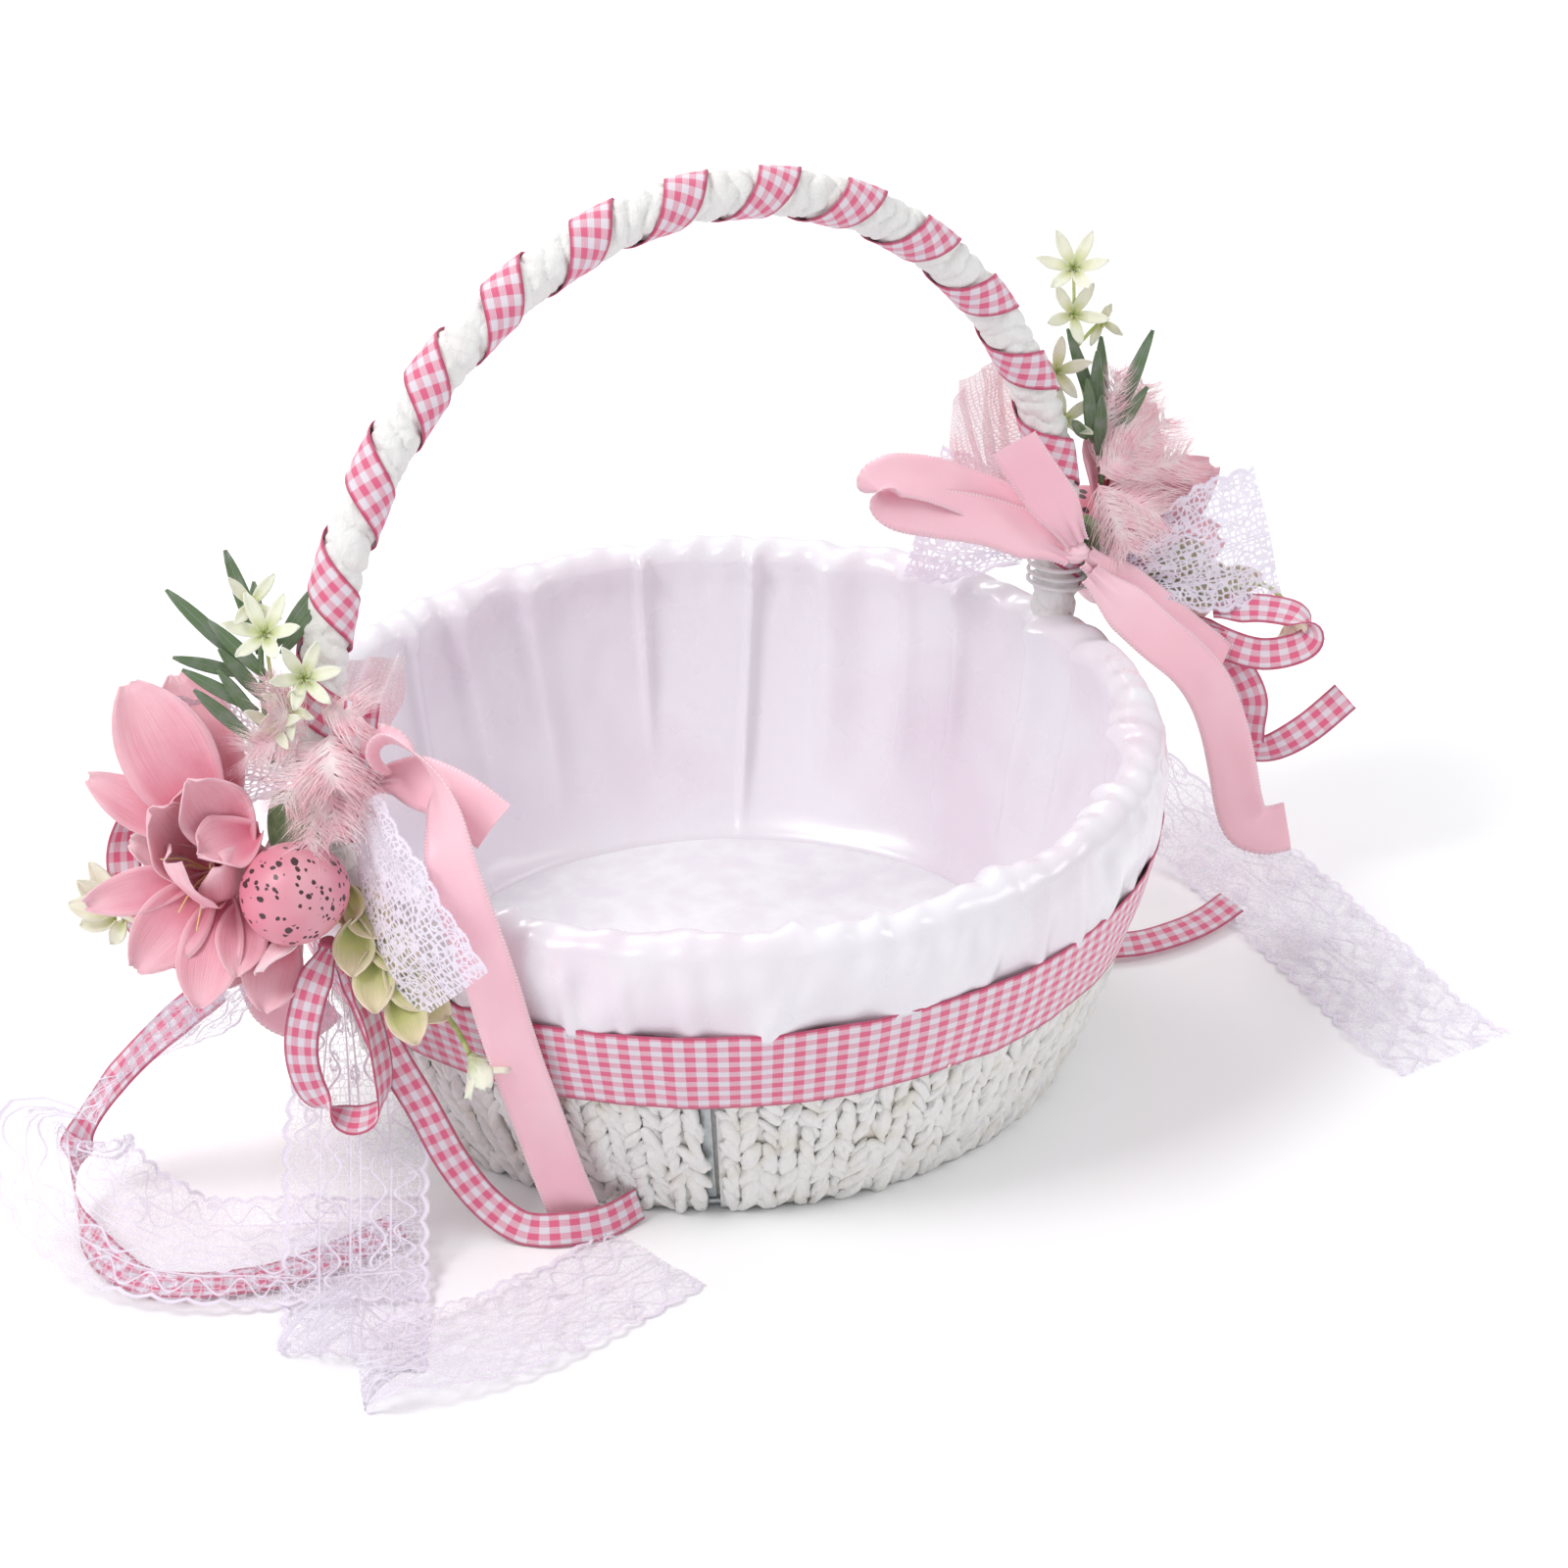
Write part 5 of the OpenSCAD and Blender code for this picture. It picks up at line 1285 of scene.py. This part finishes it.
def leaves_piece(name, rows, stem, finish, slot, node, bulge=0.7, cup=0.12, curl=-16):
    """Leaves or scales on a curved stem."""
    bunch = Bunch()
    for index, (base, tip, width) in enumerate(rows):
        bend = curl * (1 if index % 2 else -0.6)
        matrix = reach_matrix(base, tip, TOWARDS) @ Matrix.Rotation(
            math.radians(bend) / 2, 4, "Y")
        bunch.add(blade_points(math.dist(base, tip), width, bend, cup, bulge, 0.2, 10, 7,
                               index), matrix)
    bunch.piece(name, finish, slot, node, thickness=0.6)
    stalk = Bunch()
    stalk.rod(stem, 0.9, 8)
    stalk.piece(name + "_stem", finish, slot, thickness=0)


def stars_piece(name, rows, finish, centre, node, stalks):
    """Star flowers, each with its place, size and number of petals, and their stalks."""
    flowers, hearts = Bunch(), Bunch()
    for index, (place, size, count) in enumerate(rows):
        face = Vector(TOWARDS) + Vector((0.3 * math.sin(index * 2.1), 0.2 * math.cos(index),
                                         0.35 * math.cos(index * 1.7)))
        face.normalize()
        side = face.cross(Vector((0, 0, 1))).normalized()
        up = side.cross(face)
        for k in range(count):
            a = 2 * math.pi * k / count + index
            out = side * math.cos(a) + up * math.sin(a)
            tip = Vector(place) + out * size + face * size * 0.35
            matrix = reach_matrix(place, tip, face)
            flowers.add(blade_points(size * 1.1, size * 0.36, 22, 0.2, 0.75, 0.3, 8, 5, k),
                        matrix)
        for k in range(5):
            a = 2 * math.pi * k / 5 + 0.5
            out = side * math.cos(a) + up * math.sin(a)
            tip = Vector(place) + out * 1.6 + face * 3.2
            hearts.rod([place, tuple(tip)], 0.35, 5, 0.5)
    for route in stalks:
        hearts.rod(route, 0.6, 6)
    flowers.piece(name, finish, "pale_flower", node, thickness=0.3)
    hearts.piece(name + "_hearts", centre, "leaf", thickness=0)


def feathers_piece(name, rows, finish, node):
    """Each feather is a fine quill with loose barbs down both sides."""
    rng = random.Random(len(name))
    bunch = Bunch()
    for base, tip, spread in rows:
        length = math.dist(base, tip)
        face = Vector(TOWARDS) + Vector((rng.uniform(-0.3, 0.3), rng.uniform(-0.3, 0.3),
                                         rng.uniform(-0.2, 0.4)))
        matrix = reach_matrix(base, tip, face)
        quill = [(length * u, 0, 2.5 * math.sin(2.5 * u)) for u in
                 (0, 0.25, 0.5, 0.75, 1)]
        places = [tuple((matrix @ (Vector(p) * MM)) / MM) for p in quill]
        bunch.rod(places, 0.22, 4, 0.4)
        for k in range(BARBS):
            u = rng.uniform(0.02, 1.0)
            side = 1 if k % 2 else -1
            reach = spread * (0.55 + 0.5 * rng.random()) * (0.45 + 0.9 * math.sin(
                math.pi * min(1, u * 0.8 + 0.12)))
            angle = math.radians(rng.uniform(22, 62))
            drop = rng.uniform(-2.5, 3.5)
            root = Vector((length * u * 0.92, 0, 2.5 * math.sin(2.5 * u)))
            out = []
            for m in range(5):
                t = m / 4
                out.append(root + Vector((reach * t * math.cos(angle) * (0.7 + 0.4 * t),
                                          side * reach * t * math.sin(angle) * (1 - 0.25 * t),
                                          drop * t * t)))
            width = rng.uniform(0.12, 0.24)
            points, uvs = [], []
            for m, p in enumerate(out):
                w = width * (1 - m / 4.6)
                points += [p - Vector((w, 0, 0)), p + Vector((w, 0, 0.05))]
                uvs += [(-1, m / 4), (1, m / 4)]
            bunch.add((points, grid_faces(5, 2), uvs), matrix)
    return bunch.piece(name, finish, "feather", node, thickness=0)


def tulle_piece(name, place, azimuth, elevation, roll, finish, node):
    """A gathered leaf of net, pinched where it is tied in."""
    matrix = aim_matrix(place, azimuth, elevation, roll)
    bunch = Bunch()
    points, uvs = [], []
    rows, columns = 26, 41
    for i in range(rows):
        u = i / (rows - 1)
        half = 5 + 19 * math.sin(math.pi / 2 * min(1, u * 1.35)) - 5 * max(0, u - 0.75) * 2
        for j in range(columns):
            t = 2 * j / (columns - 1) - 1
            wave = (3.4 - 1.2 * u) * math.sin(t * 11 + 2 * u) + 2.5 * hum(u * 3, t * 2, 0, 3)
            points.append((44 * u + 2.0 * hum(t * 3, 0, 0, 2) * u - 4 * t * t * u, half * t,
                           wave + 8 * u * u))
            uvs.append((half * t * MM, 44 * u * MM))
    bunch.add((points, grid_faces(rows, columns), uvs), matrix)
    made = bunch.piece(name, finish, "tulle", node, thickness=0)


def egg_piece(name, centre, finish, node, d):
    """An egg: a sphere drawn out along one axis and narrowed at one end."""
    deselect()
    bpy.ops.mesh.primitive_uv_sphere_add(segments=64, ring_count=40, radius=d / 2,
                                         location=(0, 0, 0))
    piece = bpy.context.active_object
    piece.name = name
    turn = Matrix.Rotation(math.radians(70), 3, Vector((0.6, 0.8, 0.1)))
    for vertex in piece.data.vertices:
        u = vertex.co.z / (d / 2)
        wide = 1 - 0.05 * u
        p = Vector((vertex.co.x * wide, vertex.co.y * wide, vertex.co.z * 1.08))
        vertex.co = turn @ p + Vector(centre)
    bpy.ops.object.shade_smooth()
    piece.data.materials.append(finish)
    return fit_piece(piece, "egg", node)


class BASKET_OT_sprays(bpy.types.Operator):
    """Silk flowers, eggs, leaves, feathers and net of both sprays"""
    bl_idname = "basket.sprays"
    bl_label = "Flower Sprays"

    def execute(self, context):
        s = sizes()
        rim, throat = colour("petal_rim"), colour("petal_throat")
        petal = petal_finish("petal", throat, colour("petal"), rim)
        pale = petal_finish("petal_pale", colour("petal"), rim,
                            tuple(0.6 * c + 0.37 for c in rim[:3]) + (1,))
        stamen = plain_finish("stamen", (0.78, 0.55, 0.22, 1), (0.86, 0.70, 0.36, 1), 0.5, 900)
        light = tuple(0.5 * c + 0.16 for c in colour("leaf")[:3]) + (1,)
        leaf = leaf_finish("leaf", colour("leaf"), light)
        cream = petal_finish("pale_flower", (0.52, 0.58, 0.20, 1), colour("cream"),
                             (0.90, 0.90, 0.76, 1))
        hop = petal_finish("hop", colour("hop"), (0.50, 0.50, 0.18, 1), (0.88, 0.72, 0.56, 1))
        peach = petal_finish("peach_flower", (0.70, 0.62, 0.34, 1), (0.90, 0.74, 0.58, 1),
                             (0.93, 0.82, 0.70, 1))
        feather = plain_finish("feather", colour("feather"), (0.95, 0.82, 0.82, 1), 0.8, 200,
                               0.2, Sheen_Weight=0.4)
        heart = plain_finish("flower_heart", (0.36, 0.46, 0.12, 1), (0.62, 0.66, 0.28, 1), 0.5)
        egg, net = speckled_finish(), tulle_finish()
        petals_piece("left_magnolia", LEFT_OUTER, petal, "petal", "left_magnolia_outer")
        petals_piece("left_magnolia_cup", LEFT_INNER, petal, "petal", "left_magnolia_inner",
                     cup=0.24)
        petals_piece("left_blossom_petals", LEFT_UNDER, pale, "petal", "left_blossom")
        petals_piece("right_magnolia", RIGHT_OUTER, petal, "petal", "right_magnolia_outer")
        petals_piece("right_magnolia_cup", RIGHT_INNER, petal, "petal",
                     "right_magnolia_inner", cup=0.22)
        petals_piece("right_blossom_petals", RIGHT_UNDER, pale, "petal", "right_blossom")
        for side, root, tips in (
                ("left", (-170, 6, 112), [(-186, -2, 108), (-184, 4, 118), (-180, -8, 112),
                                          (-188, 2, 124), (-178, -8, 122), (-184, -8, 104)]),
                ("right", (156, 2, 118), [(178, -4, 122), (180, 2, 126), (180, 0, 116),
                                          (178, 6, 120), (176, -4, 114)])):
            threads = Bunch()
            for tip in tips:
                mid = [(a + b) / 2 for a, b in zip(root, tip)]
                mid[2] += 2
                threads.rod([root, mid, tip], 0.35, 6, 0.7)
            threads.piece(side + "_stamens", stamen, "stamen",
                          side + "_magnolia_stamens", thickness=0)
        egg_piece("left_speckled_egg", [v * MM for v in (-160, -23, 114.5)], egg, "left_egg",
                  s.egg_d)
        egg_piece("right_speckled_egg", [v * MM for v in (162, 26, 112)], egg, "right_egg",
                  s.egg_d)
        leaves_piece("left_rosemary_leaves", LEFT_LEAVES,
                     [(-150, 2, 142), (-148, 8, 160), (-144, 14, 178)], leaf, "leaf",
                     "left_rosemary")
        leaves_piece("right_rosemary_leaves", RIGHT_LEAVES,
                     [(148, 0, 142), (148, 0, 160), (150, 3, 174)], leaf, "leaf",
                     "right_rosemary")
        stars_piece("left_stars", LEFT_STARS, cream, heart, "left_star_flowers",
                    [[(-146, 0, 150), (-148, 2, 166), (-147, 6, 180)],
                     [(-146, 0, 150), (-143, -2, 160), (-142, -5, 169)]])
        stars_piece("right_stars", RIGHT_STARS, cream, heart, "right_star_flowers",
                    [[(150, 6, 158), (148, 12, 180), (150, 16, 208)],
                     [(148, 12, 184), (154, 12, 188), (158, 12, 190)]])
        leaves_piece("left_hops", LEFT_HOPS, [(-145, -20, 112), (-142, -34, 98),
                                              (-141, -46, 84)], hop, "hop", "left_hop_sprig",
                     0.8, 0.26, -34)
        leaves_piece("right_hops", RIGHT_HOPS, [(156, -8, 112), (168, -14, 108),
                                                (182, -20, 104)], hop, "hop",
                     "right_hop_sprig", 0.8, 0.26, -34)
        leaves_piece("left_buds", LEFT_BUDS, [(-165, 18, 90), (-178, 24, 88), (-188, 30, 94)],
                     cream, "pale_flower", "left_bud_sprig", 0.7, 0.2, -30)
        leaves_piece("right_buds", RIGHT_BUDS, [(160, 18, 92), (176, 24, 90), (184, 28, 97)],
                     cream, "pale_flower", "right_bud_sprig", 0.7, 0.2, -30)
        self.hanging(peach, heart, cream)
        feathers_piece("left_plumes", LEFT_PLUMES, feather, "left_feathers")
        feathers_piece("right_plumes", RIGHT_PLUMES, feather, "right_feathers")
        tulle_piece("left_net", (-130, 10, 122), 10, 78, 90, net, "left_tulle")
        tulle_piece("right_net", (124, 16, 136), 120, 66, 0, net, "right_tulle")
        return {"FINISHED"}

    def hanging(self, peach, heart, cream):
        """The open flowers that hang at the end of each spray"""
        for side, route, drop, finish, turn in (
                ("left", [(-134, -36, 84), (-130, -46, 78), (-128, -53, 72), (-127, -57, 66)],
                 (0.3, -0.5, -0.8), cream, 0.3),
                ("right", [(178, -22, 104), (188, -28, 106), (195, -30, 101),
                           (198, -33, 95)], (0.1, -0.3, -1), peach, 0.0)):
            stalk, flower = Bunch(), Bunch()
            stalk.rod(route, 0.8, 8)
            axis = Vector(drop).normalized()
            side_way = axis.cross(Vector((0.2, 1, 0))).normalized()
            up = side_way.cross(axis)
            for k in range(6):
                a = 2 * math.pi * k / 6 + turn
                out = side_way * math.cos(a) + up * math.sin(a)
                tip = Vector(route[-1]) + out * 7 + axis * 11
                flower.add(blade_points(13, 7.5, -20, 0.18, 0.9, 0.6, 9, 7, k),
                           reach_matrix(route[-1], tip, axis - out))
            for k in range(4):
                a = 2 * math.pi * k / 4
                out = side_way * math.cos(a) + up * math.sin(a)
                stalk.rod([route[-1], tuple(Vector(route[-1]) + out * 2 + axis * 9)], 0.3, 5)
            flower.piece(side + "_hanging_flower", finish, "pale_flower",
                         side + "_hanging_blossom", thickness=0.35)
            stalk.piece(side + "_hanging_stalk", heart, "leaf", thickness=0)


# ---------------------------------------------------------------- hidden frame
class BASKET_OT_frame(bpy.types.Operator):
    """Finishes of the wire, card and pads that carry the basket"""
    bl_idname = "basket.frame"
    bl_label = "Frame Finishes"

    def execute(self, context):
        wire = plain_finish("wire", (0.42, 0.45, 0.46, 1), (0.55, 0.58, 0.58, 1), 0.35, 400,
                            0.2, Metallic=0.8)
        card = plain_finish("card", (0.52, 0.38, 0.24, 1), (0.60, 0.46, 0.31, 1), 0.8)
        pad = plain_finish("green_felt", (0.14, 0.24, 0.10, 1), (0.22, 0.33, 0.15, 1), 0.9)
        tie = plain_finish("tie_wire", (0.84, 0.84, 0.83, 1), (0.78, 0.79, 0.78, 1), 0.6)
        rope = rope_finish("frame_rope", 0.3)
        for nodes, finish in (
                (("base_hoop", "rim_hoop", "uprights", "handle_core"), wire),
                (("base_board",), card),
                (("left_spray_pad", "right_spray_pad"), pad),
                (("left_tie_wire", "right_tie_wire"), tie),
                (("wall_weave_inner", "rim_border"), rope)):
            for name in nodes:
                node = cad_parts[name]
                node.data.materials.clear()
                node.data.materials.append(finish)
        return {"FINISHED"}


# ---------------------------------------------------------------- stage
class BASKET_OT_stage(bpy.types.Operator):
    """Pale floor, soft lights and the camera"""
    bl_idname = "basket.stage"
    bl_label = "Stage"

    def execute(self, context):
        deselect()
        bpy.ops.mesh.primitive_plane_add(size=12, location=(0, 0, -0.0002))
        floor = bpy.context.active_object
        floor.name = "studio_floor"
        finish = plain_finish("studio_paper", (0.97, 0.97, 0.975, 1), (0.99, 0.99, 0.99, 1),
                              0.9, 4, 0.02)
        floor.data.materials.append(finish)
        world = bpy.data.worlds.new("studio")
        context.scene.world = world
        world.use_nodes = True
        sky = world.node_tree.nodes["Background"]
        sky.inputs["Color"].default_value = (0.96, 0.97, 1.0, 1)
        sky.inputs["Strength"].default_value = 0.68
        middle = Vector((0, 0, 0.1))
        for place, size, power in (((-1.3, 0.1, 1.6), 0.7, 18), ((1.3, -1.1, 1.3), 0.8, 6),
                                   ((0.5, 1.4, 1.5), 0.8, 12)):
            deselect()
            bpy.ops.object.light_add(type="AREA", location=place)
            light = bpy.context.active_object
            light.data.size = size
            light.data.energy = power
            light.rotation_euler = (middle - Vector(place)).to_track_quat(
                "-Z", "Y").to_euler()
        self.camera(context)
        context.scene.view_settings.view_transform = "Standard"
        return {"FINISHED"}

    def camera(self, context):
        """A long lens from above the near left, level but for a slight roll"""
        eye = Vector((-0.8222, -1.1989, 0.8626))
        target = Vector((0.0389, 0.0198, 0.0647))
        camera = bpy.data.objects.new("camera", bpy.data.cameras.new("camera"))
        context.scene.collection.objects.link(camera)
        camera.data.lens = 125.94
        camera.data.sensor_width = 36
        camera.data.clip_start = 0.05
        back = (eye - target).normalized()
        right = Vector((0, 0, 1)).cross(back).normalized()
        up = back.cross(right)
        roll = math.radians(-1.568)
        x = right * math.cos(roll) + up * math.sin(roll)
        y = up * math.cos(roll) - right * math.sin(roll)
        turn = Matrix((x, y, back)).transposed().to_4x4()
        camera.matrix_world = Matrix.Translation(eye) @ turn
        context.scene.camera = camera


class BASKET_PT_panel(bpy.types.Panel):
    """The basket's sizes, colours and pieces"""
    bl_label = "Flower Girl Basket"
    bl_idname = "BASKET_PT_panel"
    bl_space_type = "VIEW_3D"
    bl_region_type = "UI"
    bl_category = "Basket"

    def draw(self, context):
        for group in (context.scene.basket_sizes, context.scene.basket_colours):
            for name in group.bl_rna.properties.keys():
                if name not in ("rna_type", "name"):
                    self.layout.prop(group, name)
        for piece in OPERATORS:
            self.layout.operator(piece.bl_idname)


OPERATORS = (BASKET_OT_stage, BASKET_OT_ribbons, BASKET_OT_wall, BASKET_OT_liner,
             BASKET_OT_band, BASKET_OT_handle, BASKET_OT_sprays, BASKET_OT_frame)
CLASSES = (BasketSizes, BasketColours) + OPERATORS + (BASKET_PT_panel,)


def register():
    for item in CLASSES:
        bpy.utils.register_class(item)
    bpy.types.Scene.basket_sizes = bpy.props.PointerProperty(type=BasketSizes)
    bpy.types.Scene.basket_colours = bpy.props.PointerProperty(type=BasketColours)


def unregister():
    del bpy.types.Scene.basket_colours
    del bpy.types.Scene.basket_sizes
    for item in reversed(CLASSES):
        bpy.utils.unregister_class(item)


def main():
    register()
    bpy.ops.basket.stage()
    bpy.ops.basket.ribbons()
    bpy.ops.basket.wall()
    bpy.ops.basket.liner()
    bpy.ops.basket.band()
    bpy.ops.basket.handle()
    bpy.ops.basket.sprays()
    bpy.ops.basket.frame()


if __name__ == "__main__":
    main()
